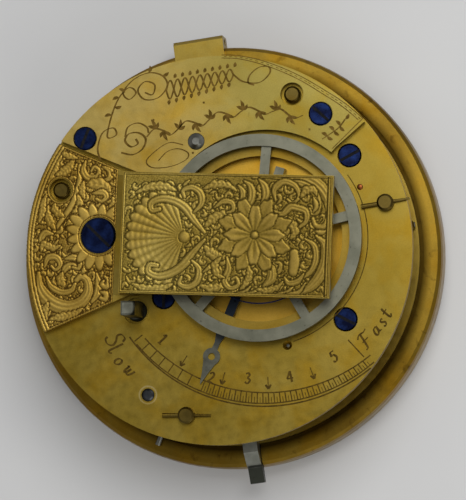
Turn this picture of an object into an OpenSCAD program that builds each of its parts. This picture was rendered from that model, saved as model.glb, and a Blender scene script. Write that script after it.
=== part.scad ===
// Verge watch movement, full plate, with fusee and chain. Millimetres.
// Up is the balance side. Twelve o'clock is +Y. Z 0 is the dial seat.

/* [Plates] */
// Diameter of the top plate
plate_d = 38.5; // [37.8:0.1:39]
// Thickness of the top plate
plate_t = 1; // [0.9:0.05:1.3]
// Diameter of the pillar plate
pillar_plate_d = 38.2; // [37.6:0.1:38.6]
// Thickness of the pillar plate
pillar_plate_t = 1.2; // [1.1:0.05:1.5]
// Height of the pillars between the plates
frame_h = 7; // [6.95:0.05:7.6]
// Width of the brass edge outside the pillar plate
edge_w = 2.3; // [2.2:0.05:2.6]
// Height of the brass edge
edge_h = 4.6; // [4.5:0.1:5.4]
// Width of the flat gilt band on the brass edge
band_w = 1.85; // [1.5:0.05:1.9]
// How far the pillar plate lies below the band
plate_drop = 0.4; // [0.3:0.05:0.6]
// Width of the ledge that carries the pillar plate
ledge_w = 1.6; // [1.2:0.1:2]

/* [Pillars] */
// Radius of the turned pillar body at its waist
pillar_r = 0.75; // [0.6:0.05:0.95]
// Radius of the pillar collars
collar_r = 1.4; // [1.2:0.05:1.5]
// Radius of the pillar end that passes the top plate
pillar_end_r = 0.82; // [0.7:0.02:0.9]
// How far the pillar ends stand above the top plate
pillar_end_h = 0.85; // [0.8:0.05:1]
// Thick radius of the taper pins
taper_pin_r = 0.24; // [0.18:0.02:0.28]
// Length of the taper pins
taper_pin_l = 4.8; // [4:0.1:5.6]

/* [Latch and hinge] */
// Sideways place of hinge and bolt
latch_x = -0.4; // [-0.6:0.1:0]
// Width of the hinge lug
lug_w = 5.1; // [4.6:0.1:5.6]
// How far the hinge lug stands past the rim
lug_out = 1.1; // [0.9:0.1:1.3]
// Radius of the hinge pin hole
lug_bore_r = 0.35; // [0.3:0.05:0.4]
// Width of the bolt
bolt_w = 1.45; // [1.3:0.05:1.6]
// How far the bolt nose stands past the rim
bolt_out = 1.6; // [1.4:0.1:1.8]
// Travel of the bolt
bolt_travel = 1.2; // [1:0.1:1.4]

/* [Mainspring barrel] */
// Outside radius of the barrel
barrel_r = 7.6; // [7.4:0.05:7.7]
// Wall of the barrel
barrel_wall = 0.4; // [0.3:0.05:0.6]
// Height of the barrel
barrel_h = 5.7; // [5.4:0.05:5.75]
// Radius of the barrel arbor's journals
barrel_journal_r = 0.8; // [0.7:0.05:0.9]
// Radius of the arbor's core that the mainspring grips
core_r = 1.5; // [1.3:0.1:1.8]
// Turns of the mainspring
main_turns = 9; // [7:1:10]
// Thickness of the mainspring
main_t = 0.15; // [0.1:0.01:0.18]

/* [Fusee] */
// Teeth of the great wheel
great_n = 48; // [44:1:52]
// Thickness of the great wheel
great_t = 0.7; // [0.6:0.05:0.75]
// Radius of the fusee at its foot
fusee_r0 = 6; // [5.6:0.1:6.2]
// Radius of the fusee at its top
fusee_r1 = 2.7; // [2.5:0.1:2.9]
// Turns of the groove
fusee_turns = 7; // [6:1:7]
// Depth of the groove
groove_d = 0.24; // [0.18:0.02:0.3]
// Side of the winding square
square_w = 1.4; // [1.2:0.05:1.45]
// Height of the winding square above the top plate
square_h = 4.2; // [3.6:0.1:4.4]
// Width of the chain
chain_w = 0.42; // [0.36:0.02:0.44]
// Thickness of the chain
chain_t = 0.36; // [0.3:0.02:0.4]
// Share of the chain's width that is left at the waist of a link
link_waist = 0.7; // [0.6:0.05:0.85]

/* [Train] */
// Leaves of the centre pinion
centre_leaves = 12; // [10:1:12]
// Teeth of the centre wheel
centre_n = 54; // [52:1:54]
// Teeth of the third wheel
third_n = 48; // [46:1:48]
// Teeth of the contrate wheel
contrate_n = 48; // [46:1:48]
// Leaves of the small pinions
leaves = 6; // [6:1:7]
// Module of centre wheel and third pinion
centre_m = 0.26; // [0.25:0.005:0.265]
// Module of third wheel and contrate pinion
third_m = 0.19; // [0.185:0.005:0.195]
// Module of contrate wheel and escape pinion
contrate_m = 0.185; // [0.18:0.005:0.19]
// Thickness of the train wheels
wheel_t = 0.35; // [0.25:0.05:0.4]
// Teeth of the crown wheel
crown_n = 15; // [13:2:15]
// Outside radius of the crown wheel
crown_r = 2.45; // [2.2:0.05:2.45]
// Length of a crown wheel tooth
crown_tooth = 1; // [0.8:0.05:1.2]

/* [Balance] */
// Outside radius of the balance rim
balance_r = 10.19; // [9.9:0.01:10.2]
// Width of the balance rim
balance_rim_w = 1.17; // [1:0.01:1.25]
// Thickness of the balance rim
balance_t = 0.65; // [0.5:0.05:0.8]
// Arms of the balance
balance_arms = 5; // [3:1:5]
// Width of a balance arm
arm_w = 0.95; // [0.8:0.05:1.1]
// Height of the balance above the top plate
balance_up = 1.1; // [1.1:0.05:1.3]
// Radius of the verge staff
staff_r = 0.3; // [0.25:0.01:0.32]
// Reach of the pallets
pallet_l = 0.8; // [0.7:0.02:0.82]
// Radius of the hairspring's outer turn
hair_r = 6.4; // [6.2:0.05:6.5]
// Turns of the hairspring
hair_turns = 5.5; // [4.5:0.5:6.5]
// Thickness of the hairspring
hair_t = 0.12; // [0.1:0.01:0.14]

/* [Cock and bridge] */
// Height of the cock's upper face above the top plate
cock_up = 4; // [3.8:0.05:4.3]
// Thickness of the cock's table
table_t = 0.9; // [0.8:0.05:1]
// Width of the cock's table
table_w = 11.9; // [11.4:0.1:12.2]
// Reach of the table past the balance axis
table_l = 7.55; // [7:0.05:8]
// Thickness of the cock's foot and of the barrel bridge
foot_t = 0.9; // [0.8:0.05:1]
// Head radius of the plate and bridge screws
screw_r = 1.15; // [1:0.05:1.2]
// Head radius of the cock's screw
cock_screw_r = 1.75; // [1.5:0.05:1.8]
// Height of the screw heads
head_h = 0.45; // [0.35:0.05:0.5]
// Width of the screw slots
slot_w = 0.3; // [0.2:0.02:0.36]

/* [Regulator] */
// How far the sink's wall lies inside the balance rim's outer edge
sink_in = 2.04; // [2:0.02:2.2]
// Depth of the sink under the balance
sink_d = 0.6; // [0.4:0.05:0.65]
// Radius of the pointer's tip from the balance axis
pointer_r = 15.4; // [14.8:0.1:15.8]
// Radius of the pointer's bulb
bulb_r = 0.85; // [0.7:0.05:0.9]
// Angle of the pointer at rest
pointer_a = -120.6; // [-123:0.2:-118]

/* [Motion work] */
// Module of the motion work
motion_m = 0.15; // [0.14:0.005:0.155]
// Leaves of the cannon pinion
cannon_n = 12; // [10:1:12]
// Teeth of the minute wheel
minute_n = 48; // [46:1:50]
// Leaves of the minute pinion
minute_leaves = 15; // [12:1:16]

/* [Fits] */
// Running clearance round a pivot
run = 0.04; // [0.02:0.005:0.06]
// Clearance of pieces that are seated
seat = 0.01; // [0.005:0.005:0.02]
// Endshake of an arbor
shake = 0.08; // [0.05:0.01:0.1]

/* [Hidden] */
$fn = 72;
z_pp1 = edge_h - plate_drop;
z_pp0 = z_pp1 - pillar_plate_t;
z_tp0 = z_pp1 + frame_h;
z_tp1 = z_tp0 + plate_t;
z_foot = z_tp1 + foot_t;
z_cock = z_tp1 + cock_up;
z_table = z_cock - table_t;
z_bal = z_tp1 + balance_up;
top_r = plate_d / 2;
pp_r = pillar_plate_d / 2;
edge_r = pp_r + edge_w;
band_r = edge_r - band_w;

sink_r = balance_r - sink_in;
cap_ro = sink_r + 1.95;
cap_screw_at = sink_r + 1.45;

function pol(r, a) = [r * cos(a), r * sin(a)];
function ang(p) = atan2(p[1], p[0]);

// Places read from the photograph: radius and angle about the plate's centre
PILLARS = [pol(16.8, 151.1), pol(16.9, 55.8), pol(17.2, 6.8), pol(16.6, -108.3)];
PIN_ANGLES = [0, 0, 1.1, -8];
fusee_at = pol(10.14, -151.6);
barrel_at = pol(10.83, 93);
verge_at = pol(4.39, 4.8);
contrate_at = pol(11.77, -61.7);
bridge_screw_at = [pol(17.3, 132.1), pol(16.72, 43.9)];
cock_screw_at = pol(11.92, 165.2);
potence_screw_at = pol(15.92, 26.9);
counter_screw_at = pol(14.49, -36.8);
stop_screw_at = pol(7.14, -146.9);
stop_at = pol(15.89, -123.7);
edge_foot_r = 18.3;
edge_foot_a = [-119, 1, 121];
edge_pin_l = [3.2, 1.75, 1.75];

// Levels of the train, from the pillar plate up
floor_z = z_pp1 - 0.4;
centre_z = floor_z + 0.25;
great_z = z_pp1 + 0.9;
third_z = z_pp1 + 1;
contrate_z = z_pp1 + 2;
axis_z = z_pp1 + 4.1;
barrel_z = z_pp1 + 0.6;
cone_z = great_z + great_t + 0.1;
turn_h = chain_w + 0.13;
flange_t = 0.2;
cone_h = flange_t + fusee_turns * turn_h;
cap_z = cone_z + cone_h;

// Gearing: pitch radii, then the places that depend on them
great_m = 2 * norm(fusee_at) / (great_n + centre_leaves);
centre_pr = centre_n * centre_m / 2;
third_d = (centre_n + leaves) * centre_m / 2;
contrate_d = (third_n + leaves) * third_m / 2;
contrate_l = norm(contrate_at);
third_a = ang(contrate_at)
    + acos((third_d * third_d + contrate_l * contrate_l - contrate_d * contrate_d)
        / (2 * third_d * contrate_l));
third_at = pol(third_d, third_a);
contrate_pr = contrate_n * contrate_m / 2;
escape_pr = leaves * contrate_m / 2;
arbor_r = 0.28;
cross_off = 2 * arbor_r + 0.09;
to_contrate = contrate_at - verge_at;
escape_a = ang(to_contrate) - asin(cross_off / norm(to_contrate));
foot_l = sqrt(norm(to_contrate) * norm(to_contrate) - cross_off * cross_off);
mesh_l = foot_l + sqrt(contrate_pr * contrate_pr - cross_off * cross_off);
mesh_at = verge_at + pol(mesh_l, escape_a);
contrate_top = axis_z - escape_pr + 0.9 * contrate_m;
tips_l = pallet_l + 0.06;
hour_n = cannon_n + minute_n - minute_leaves;
post_at = pol((cannon_n + minute_n) * motion_m / 2, -30);

module at(p, z = 0, a = 0) translate([p[0], p[1], z]) rotate(a) children();
module disc(r, h, z = 0) translate([0, 0, z]) cylinder(r = r, h = h);
module tube(ro, ri, h, z = 0) translate([0, 0, z]) difference() {
    cylinder(r = ro, h = h);
    translate([0, 0, -1]) cylinder(r = ri, h = h + 2);
}
module block(x, y, h, z = 0) translate([-x / 2, -y / 2, z]) cube([x, y, h]);
// Along the crown wheel's arbor: local Z runs outward from the verge
module escape_line() translate([verge_at[0], verge_at[1], axis_z]) rotate([0, 90, escape_a]) children();

// One wheel tooth: radial flanks and an epicycloid above the pitch circle
function epi(R, g, t) = [(R + g) * cos(t) - g * cos((R + g) / g * t),
    (R + g) * sin(t) - g * sin((R + g) / g * t)];
function epi_end(R, g, tip) = g / R * acos((pow(R + g, 2) + g * g - tip * tip) / (2 * (R + g) * g));
function turn(p, a) = [p[0] * cos(a) - p[1] * sin(a), p[0] * sin(a) + p[1] * cos(a)];
function wheel_pts(n, m, g, share, add, ded) = let (R = n * m / 2, w = 180 / n * share,
    te = epi_end(R, g, R + add * m), k = 3) [for (i = [0:n - 1]) each concat(
    [turn(pol(R - ded * m, -w), i * 360 / n)],
    [for (j = [0:k]) turn(epi(R, g, te * j / k), i * 360 / n - w)],
    [for (j = [k:-1:0]) let (q = epi(R, g, te * j / k)) turn([q[0], -q[1]], i * 360 / n + w)],
    [turn(pol(R - ded * m, w), i * 360 / n)])];
function leaf_pts(n, m, share, add, ded) = let (r = n * m / 2, w = 180 / n * share)
    [for (i = [0:n - 1]) each [for (q = [[-ded, -w], [0, -w], [add * 0.65, -w * 0.72], [add, -w * 0.2],
        [add, w * 0.2], [add * 0.65, w * 0.72], [0, w], [-ded, w]])
        turn(pol(r + q[0] * m, q[1]), i * 360 / n)]];
module wheel_2d(n, m, leaves_on, add = 1.15) polygon(wheel_pts(n, m, leaves_on * m / 4, 0.44, add, 1.15));
module pinion_2d(n, m) polygon(leaf_pts(n, m, 0.34, 0.7, 1.4));
// Windows between the arms of a wheel
module windows(r0, r1, arms, w, h) for (i = [0:arms - 1]) rotate(i * 360 / arms)
    linear_extrude(h) difference() {
        intersection() {
            circle(r1);
            polygon([[0, 0], pol(r1 * 3, 0), pol(r1 * 3, 180 / arms), pol(r1 * 3, 360 / arms)]);
        }
        circle(r0);
        translate([0, -w / 2]) square([r1 * 2, w]);
        rotate(360 / arms) translate([0, -w / 2]) square([r1 * 2, w]);
    }
module crossed_wheel(n, m, mates, arms, hub, bore, t, add = 1.15) difference() {
    linear_extrude(t) wheel_2d(n, m, mates, add);
    translate([0, 0, -1]) windows(hub, n * m / 2 - 1.15 * m - 0.55, arms, 0.6, t + 2);
    disc(bore, t + 2, -1);
}
module screw(r, shank_r, l, a, h = head_h) difference() {
    union() {
        disc(r, h * 0.7);
        translate([0, 0, h * 0.7]) cylinder(r1 = r, r2 = r * 0.9, h = h * 0.3);
        disc(shank_r, l + 0.1, -l);
    }
    rotate(a) block(2 * r + 1, slot_w, h, h * 0.55);
}
module sinks(r, shank_r, depth, z) {
    disc(r + 0.05, 5, z - depth);
    disc(shank_r + seat, 20, z - 10);
}

module pillar_plate() color("#b98f3c") difference() {
    disc(pp_r, pillar_plate_t, z_pp0);
    disc(centre_pr + centre_m + 0.35, 5, floor_z);
    at(third_at) disc(leaves * centre_m / 2 + 0.5, 5, floor_z);
    for (p = PILLARS) at(p) disc(0.7 + seat, 9, 0);
    disc(0.75 + run, 9, 0);
    at(third_at) disc(0.2 + run, 9, 0);
    at(contrate_at) disc(0.2 + run, 9, 0);
    at(fusee_at) disc(0.6 + run, 9, 0);
    at(barrel_at) disc(barrel_journal_r + run, 9, 0);
    at(post_at) disc(0.36 + seat, 9, 0);
    for (a = edge_foot_a) at(pol(edge_foot_r, a)) disc(0.6 + seat, 9, 0);
    at([latch_x, -16.6]) disc(0.45 + seat, 9, 0);
    at(click_at) disc(0.45 + seat, 9, 0);
    at(spring_at) disc(0.35 + seat, 9, 0);
}

module edge_profile() polygon([[band_r, edge_h], [edge_r - 0.45, edge_h], [edge_r - 0.12, edge_h - 0.3],
    [edge_r, edge_h - 0.8], [edge_r, 1.3], [edge_r - 0.3, 1], [edge_r - 0.3, 0.4], [edge_r - 0.7, 0],
    [band_r, 0], [band_r, z_pp0 - 0.8], [pp_r - ledge_w, z_pp0 - 0.8], [pp_r - ledge_w, z_pp0],
    [pp_r + 0.05, z_pp0], [pp_r + 0.05, z_pp1 + 0.1], [band_r, z_pp1 + 0.1]]);

module brass_edge() color("#c79a3a") {
    difference() {
        rotate_extrude($fn = 120) edge_profile();
        at([latch_x, -edge_r]) block(bolt_w + 0.14, 7, 9, z_pp0 + 0.35);
        at([latch_x, edge_r]) block(lug_w + 2 * seat, 2 * 1.1, 9, z_pp0 - 0.7);
    }
    for (a = edge_foot_a) at(pol(edge_foot_r, a), 0, a) difference() {
        disc(0.6, z_pp1 + 1.2 - z_pp0 + 0.3, z_pp0 - 0.3);
        translate([-2, 0, z_pp1 + 0.72]) rotate([0, 90, 0]) cylinder(r = 0.3, h = 4);
    }
}

module edge_pins() color("#5b5d5f") for (i = [0:2])
    at(pol(edge_foot_r, edge_foot_a[i]), z_pp1 + 0.72, edge_foot_a[i]) translate([-1.1, 0, 0])
        rotate([0, 90, 0]) cylinder(r1 = 0.2, r2 = 0.285, h = edge_pin_l[i]);

module hinge_lug() color("#a98b48") difference() {
    translate([latch_x - lug_w / 2, edge_r - 1.1 + seat, z_pp0 - 0.7 + seat])
        cube([lug_w, 1.1 + lug_out, 2.6]);
    translate([latch_x - lug_w, edge_r + lug_out - 0.6, z_pp0 + 0.6]) rotate([0, 90, 0])
        cylinder(r = lug_bore_r, h = 2 * lug_w);
    translate([latch_x, edge_r + lug_out, z_pp0 + 1.9]) rotate([45, 0, 0])
        cube([2 * lug_w, 0.5, 0.5], center = true);
}

// A turned baluster pillar, riveted below and shouldered above
module pillar_profile() polygon(concat([[0, z_pp0], [0.7, z_pp0], [0.7, z_pp1], [collar_r, z_pp1],
    [collar_r, z_pp1 + 0.55], [pillar_r + 0.15, z_pp1 + 0.75], [pillar_r + 0.15, z_pp1 + 0.95]],
    [for (k = [0:8]) let (s = k / 8) [pillar_r + 0.28 * pow(sin(180 * s), 2) - 0.05,
        z_pp1 + 1.1 + s * (frame_h - 2.2)]],
    [[pillar_r + 0.15, z_tp0 - 0.95], [pillar_r + 0.15, z_tp0 - 0.75], [collar_r - 0.1, z_tp0 - 0.55],
    [collar_r - 0.1, z_tp0], [pillar_end_r, z_tp0], [pillar_end_r, z_tp1 + pillar_end_h - 0.2],
    [pillar_end_r - 0.2, z_tp1 + pillar_end_h], [0, z_tp1 + pillar_end_h]]));
module pillars() color("#a8843c") for (i = [0:3]) at(PILLARS[i]) difference() {
    rotate_extrude($fn = 48) pillar_profile();
    if (i > 1) rotate(PIN_ANGLES[i]) translate([-2, 0, z_tp1 + taper_pin_r + 0.05]) rotate([0, 90, 0])
        cylinder(r = taper_pin_r + seat, h = 4);
}
module pillar_pins() color("#6d6a5c") for (i = [2, 3])
    at(PILLARS[i], z_tp1 + taper_pin_r + 0.05, PIN_ANGLES[i])
    translate([-taper_pin_l / 2, 0, 0]) rotate([0, 90, 0])
        cylinder(r1 = taper_pin_r, r2 = taper_pin_r * 0.45, h = taper_pin_l);

module top_plate() color("#c9a24a") difference() {
    disc(top_r, plate_t, z_tp0);
    at(verge_at) disc(sink_r, 5, z_tp1 - sink_d);
    at(verge_at) disc(0.75, 9, z_tp0 - 4);
    for (p = PILLARS) at(p) disc(pillar_end_r + seat, 9, z_tp0 - 4);
    at(fusee_at) disc(1 + run, 9, z_tp0 - 4);
    at(fusee_at) disc(1.3, 5, z_tp1 - 0.5);
    at(barrel_at) disc(barrel_journal_r + 0.3, 9, z_tp0 - 4);
    disc(0.25 + run, 9, z_tp0 - 4);
    at(third_at) disc(0.15 + run, 9, z_tp0 - 4);
    at(contrate_at) disc(0.14 + run, 9, z_tp0 - 4);
    at(contrate_at) translate([0, 0, z_tp1 - 0.35]) cylinder(r1 = 0.2, r2 = 0.5, h = 0.4);
    at(cock_screw_at) disc(0.6 + seat, 9, z_tp0 - 4);
    for (p = bridge_screw_at) at(p) disc(0.45 + seat, 9, z_tp0 - 4);
    for (p = [potence_screw_at, counter_screw_at, stop_screw_at])
        at(p) sinks(screw_r, 0.5, head_h + 0.03, z_tp1);
    at(stop_at) disc(0.64 + seat, 9, z_tp0 - 4);
    at(stud_at) disc(0.35 + seat, 9, z_tp0 - 4);
    for (a = cap_screw_a) at(verge_at + pol(cap_screw_at, a)) disc(0.22 + seat, 9, z_tp0 - 4);
    for (p = cock_steady) at(p) disc(0.35 + seat, 9, z_tp0 - 4);
}

// Cock: a plain table over the balance, a neck, and a foot on the plate
cock_a = -10;
neck_l = 13.2;
neck_t = 1.1;
foot_a = [138.4, 197.3];
foot_r = top_r - 0.15;
module cock_line(z = 0) at(verge_at, z, cock_a) children();
function on_cock(s, w) = verge_at + turn([s, w], cock_a);
cock_corner = [for (s = [1, -1]) on_cock(neck_t - neck_l - 0.4, s * (table_w / 2 - 0.15))];
cock_steady = [on_cock(-neck_l - 0.2, table_w / 2 - 1.2), on_cock(-neck_l - 0.2, 1.2 - table_w / 2)];
function past(p, q) = q + (q - p) * 0.6;
module balance_cock() color("#c8a048") difference() {
    union() {
        translate([0, 0, z_tp1]) linear_extrude(foot_t) intersection() {
            circle(foot_r);
            polygon([cock_corner[0], past(cock_corner[0], pol(top_r, foot_a[0])), pol(60, 168),
                past(cock_corner[1], pol(top_r, foot_a[1])), cock_corner[1]]);
        }
        cock_line() translate([0, table_w / 2, 0]) rotate([90, 0, 0]) linear_extrude(table_w)
            polygon([[-neck_l - 1.2, z_tp1], [neck_t - neck_l, z_tp1], [neck_t - neck_l, z_table - 0.5],
                [neck_t + 0.5 - neck_l, z_table], [table_l, z_table], [table_l, z_cock], [-neck_l, z_cock],
                [-neck_l, z_foot + 0.7], [-neck_l - 0.5, z_foot + 0.1], [-neck_l - 1.2, z_foot]]);
        for (p = cock_steady) at(p) disc(0.35, 0.8, z_tp1 - 0.8);
    }
    at(verge_at) disc(0.12 + run, 0.65, z_table - 0.1);
    at(PILLARS[0]) disc(1.15, 9, z_tp1 - 4);
    at(cock_screw_at) sinks(cock_screw_r, 0.6, head_h - 0.15, z_foot);
}
module cock_screw() color("#27407e") at(cock_screw_at, z_foot - head_h + 0.15)
    screw(cock_screw_r, 0.6, 1.5, -52);

// Barrel bridge: its lower edge runs round the balance
bridge_arc_r = cap_ro + 0.55;
bridge_end = pol(15.33, 31.8);
bridge_tip_a = 32.1;
module barrel_bridge() color("#c79f45") difference() {
    translate([0, 0, z_tp1]) linear_extrude(foot_t) difference() {
        intersection() {
            circle(foot_r);
            polygon([verge_at, on_cock(neck_t - neck_l, table_w / 2 + 0.2),
                past(cock_corner[0], pol(top_r, foot_a[0] - 0.5)), [-30, 40], [40, 40],
                past(bridge_end, pol(top_r, bridge_tip_a)), bridge_end]);
        }
        translate(verge_at + [0.45, 0]) circle(bridge_arc_r);
    }
    at(barrel_at) disc(barrel_journal_r + run, 9, z_tp1 - 4);
    at(PILLARS[1]) disc(1.15, 9, z_tp1 - 4);
    for (p = bridge_screw_at) at(p) sinks(screw_r, 0.45, head_h - 0.15, z_foot);
}
module bridge_screws() color("#27407e") for (i = [0, 1])
    at(bridge_screw_at[i], z_foot - head_h + 0.15) screw(screw_r, 0.45, 1.5, [60, -50][i]);
module potence_screws() color("#27407e") for (q = [[potence_screw_at, 20], [counter_screw_at, -35],
    [stop_screw_at, 80]]) at(q[0], z_tp1 - head_h - 0.02)
        screw(screw_r, 0.5 - seat, plate_t + 0.3 - head_h, q[1]);

// Regulator: a lever turning round the balance axis under a cap ring
cap_screw_a = [-12, 95, 176];
lever_z = z_tp1 + 0.04;
lever_t = 0.2;
ring_ri = sink_r + 0.2;
ring_ro = sink_r + 0.8;
cap_t = 0.55;
curb_gap = hair_t / 2 + 0.1;
bulb_at = pointer_r - 2.9;
module regulator_cap() color("#c39b45") at(verge_at, z_tp1) difference() {
    disc(cap_ro, cap_t);
    disc(sink_r, 9, -1);
    disc(ring_ro + run, 1 + lever_t + 0.1, -1);
    for (a = cap_screw_a) rotate(a) translate([cap_screw_at, 0, 0]) sinks(0.42, 0.22, 0.15, cap_t);
    translate([0, 0, -1]) linear_extrude(1 + lever_t + 0.1)
        polygon([[0, 0], pol(20, pointer_a - 42), pol(20, pointer_a + 18), pol(20, pointer_a + 78)]);
}
module cap_screws() color("#6a6d70") for (a = cap_screw_a)
    at(verge_at + pol(cap_screw_at, a), z_tp1 + cap_t - 0.15) screw(0.4, 0.22, cap_t + 0.3, a * 3, 0.15);
module regulator_lever() color("#8d9195") at(verge_at, lever_z, pointer_a) {
    linear_extrude(lever_t) difference() {
        union() {
            difference() {
                union() {
                    circle(ring_ro);
                    polygon([[ring_ro - 0.4, 1.5], [ring_ro + 0.3, 1.1], [ring_ro + 1.1, 0.5],
                        [ring_ro + 2.1, 0.26], [bulb_at, 0.3], [bulb_at, -0.3],
                        [ring_ro + 2.1, -0.26], [ring_ro + 1.1, -0.5], [ring_ro + 0.3, -1.1],
                        [ring_ro - 0.4, -1.5]]);
                }
                circle(ring_ri);
            }
            translate([hair_r - 0.8, -0.45]) square([ring_ri - hair_r + 1, 0.9]);
            translate([bulb_at, 0]) circle(bulb_r);
            polygon([[pointer_r - 2.3, 0.62], [pointer_r - 1.2, 0.3], [pointer_r, 0.03],
                [pointer_r, -0.03], [pointer_r - 1.2, -0.3], [pointer_r - 2.3, -0.62]]);
        }
        translate([bulb_at, 0]) circle(0.35);
    }
    for (s = [-1, 1]) translate([hair_r + s * (curb_gap + 0.1), 0, lever_t - 0.02])
        cylinder(r = 0.1, h = 0.72);
}

// Balance, verge and hairspring
stud_a = 65.4;
stud_at = verge_at + pol(hair_r + 0.5, stud_a);
arm_a = 77.2;
hair_z = z_bal - 0.42;
hair_h = 0.22;
module balance_wheel() color("#8b8f93") at(verge_at, z_bal) {
    tube(balance_r, balance_r - balance_rim_w, balance_t);
    linear_extrude(0.35) difference() {
        union() {
            circle(1.2);
            for (i = [0:balance_arms - 1]) rotate(arm_a + i * 360 / balance_arms)
                translate([0, -arm_w / 2]) square([balance_r - balance_rim_w / 2, arm_w]);
        }
        circle(staff_r + seat);
    }
    tube(0.75, staff_r + seat, 0.75);
}
module verge_staff() color("#6f7376") at(verge_at) {
    disc(0.12, 0.5, z_pot + 0.25);
    disc(staff_r, z_table - 0.06 - z_pot - 0.65, z_pot + 0.65);
    disc(0.12, 0.5, z_table - 0.1);
    for (s = [-1, 1]) rotate(escape_a + s * 50)
        translate([0, -0.1, axis_z + s * (crown_r - 0.2) - 0.25]) cube([pallet_l, 0.2, 0.5]);
}
module balance_collet() color("#b98f3c") at(verge_at, z_bal) translate([0, 0, -0.55])
    tube(0.95, staff_r + seat, 0.53);
function hair_rad(s) = s < 0.64 ? hair_r
    : hair_r - (hair_r - 1.03) * (s - 0.64) / (hair_turns - 0.64);
echo(hairspring_least_gap = (hair_r - 1.03) / (hair_turns - 0.64) - hair_t);
module spiral(n, a0, t, per) polygon(concat(
    [for (i = [0:n * per]) pol($r0(i / per) + t / 2, a0 - i * 360 / per)],
    [for (i = [n * per:-1:0]) pol($r0(i / per) - t / 2, a0 - i * 360 / per)]));
module hairspring() color("#3d4d78") at(verge_at, hair_z) linear_extrude(hair_h) {
    $r0 = function(s) hair_rad(s);
    spiral(hair_turns, stud_a, hair_t, 30);
}
module hairspring_stud() color("#8d9195") at(stud_at, 0, stud_a) difference() {
    union() {
        disc(0.35, z_tp1 - sink_d - z_tp0, z_tp0);
        block(0.7, 0.9, hair_z + hair_h + 0.12 - z_tp1 + sink_d, z_tp1 - sink_d);
        translate([-0.75, -0.45, hair_z - 0.12]) cube([0.6, 0.9, hair_h + 0.24]);
    }
    translate([-0.5 - hair_t / 2 - 0.03, -1, hair_z - 0.02]) cube([hair_t + 0.06, 2, hair_h + 0.04]);
}

// Potence and counter potence carry the crown wheel's arbor
z_pot = floor_z + 0.95;
module on_verge(z = 0) at(verge_at, z, escape_a) children();
module bar_2d(p, q, w) translate(p) rotate(ang(q - p)) translate([0, -w / 2]) square([norm(q - p), w]);
potence_top = verge_at + turn([-0.5, 4], escape_a);
module potence() color("#b98f3c") difference() {
    union() {
        translate([0, 0, z_tp0 - 0.9]) linear_extrude(0.9) {
            translate(potence_screw_at) circle(1.8);
            bar_2d(potence_top, potence_screw_at, 2.6);
        }
        on_verge() {
            translate([-1.6, 3.2, z_pot]) cube([2.15, 1.7, z_tp0 - z_pot]);
            translate([-0.35, 0.5, axis_z - 0.7]) cube([0.95, 2.8, 1.4]);
            translate([0.5, -0.45, axis_z - 0.45]) cube([1, 1.55, 0.9]);
            translate([-0.5, -0.5, z_pot]) cube([1, 3.8, 0.55]);
        }
    }
    on_verge(z_pot + 0.2) cylinder(r = 0.12 + run, h = 1);
    escape_line() translate([0, 0, 1]) cylinder(r = 0.12 + run, h = 1);
    at(potence_screw_at) disc(0.5, 9, z_tp0 - 4);
}
counter_l = mesh_l + 1.35;
counter_top = verge_at + pol(counter_l + 0.5, escape_a);
module counter_potence() color("#b98f3c") difference() {
    union() {
        translate([0, 0, z_tp0 - 0.9]) linear_extrude(0.9) {
            translate(counter_screw_at) circle(1.6);
            bar_2d(counter_top, counter_screw_at, 1.9);
        }
        on_verge() translate([counter_l, -0.85, axis_z - 0.8]) cube([1, 1.7, z_tp0 - axis_z + 0.8]);
    }
    escape_line() disc(0.45 + seat, 9, 12);
    at(counter_screw_at) disc(0.5, 9, z_tp0 - 4);
}
module escape_plug() color("#a8843c") escape_line() difference() {
    disc(0.45, 1.5, counter_l);
    disc(0.12 + run, 0.7, counter_l - 0.1);
    translate([0, 0, counter_l + 1.35]) block(2, 0.2, 1);
}

// Mainspring barrel
cover_t = 0.45;
hub_r = barrel_journal_r + 0.3;
module mainspring_barrel() color("#b8913f") at(barrel_at, barrel_z) difference() {
    disc(barrel_r, barrel_h);
    disc(barrel_r - barrel_wall, 9, 0.5);
    disc(barrel_r - barrel_wall / 2, 9, barrel_h - cover_t);
    disc(hub_r + run, 9, -1);
}
module barrel_cover() color("#c79f45") at(barrel_at, barrel_z + barrel_h - cover_t) difference() {
    disc(barrel_r - barrel_wall / 2 - seat, cover_t);
    disc(hub_r + run, 9, -1);
    rotate(20) translate([barrel_r - 1.1, -0.5, -1]) cube([2, 1, 5]);
}
module barrel_arbor() color("#777b7e") at(barrel_at) {
    block(1, 1, 0.95, z_pp0 - 0.9);
    disc(barrel_journal_r, z_pp1 + 0.2 - z_pp0, z_pp0);
    disc(hub_r, z_tp0 - z_pp1 - 0.2, z_pp1 + 0.1);
    disc(core_r, barrel_h - cover_t - 0.5 - 0.16, barrel_z + 0.58);
    disc(barrel_journal_r, z_foot - z_tp0 + 0.1, z_tp0 - 0.1);
    translate([0, 0, z_foot]) cylinder(r1 = barrel_journal_r, r2 = 0.35, h = 0.3);
}
function main_rad(s) = core_r + 0.16 + (barrel_r - barrel_wall - core_r - 0.32) * s / main_turns;
echo(mainspring_least_gap = (barrel_r - barrel_wall - core_r - 0.32) / main_turns - main_t);
module mainspring() color("#4a5a80") at(barrel_at, barrel_z + 0.65)
    linear_extrude(barrel_h - cover_t - 0.8) {
        $r0 = function(s) main_rad(main_turns - s);
        spiral(main_turns, 40, main_t, 24);
    }
module saw_2d(n, r, d) polygon([for (i = [0:n - 1])
    each [pol(r, i * 360 / n), pol(r - d, (i + 0.12) * 360 / n)]]);
ratchet_r = 2.3;
click_at = barrel_at + pol(ratchet_r + 2.35, -25);
module setup_ratchet() color("#777b7e") at(barrel_at, z_pp0 - 0.75) difference() {
    linear_extrude(0.6) saw_2d(20, ratchet_r, 0.45);
    block(1 + 2 * seat, 1 + 2 * seat, 3, -1);
}
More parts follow.
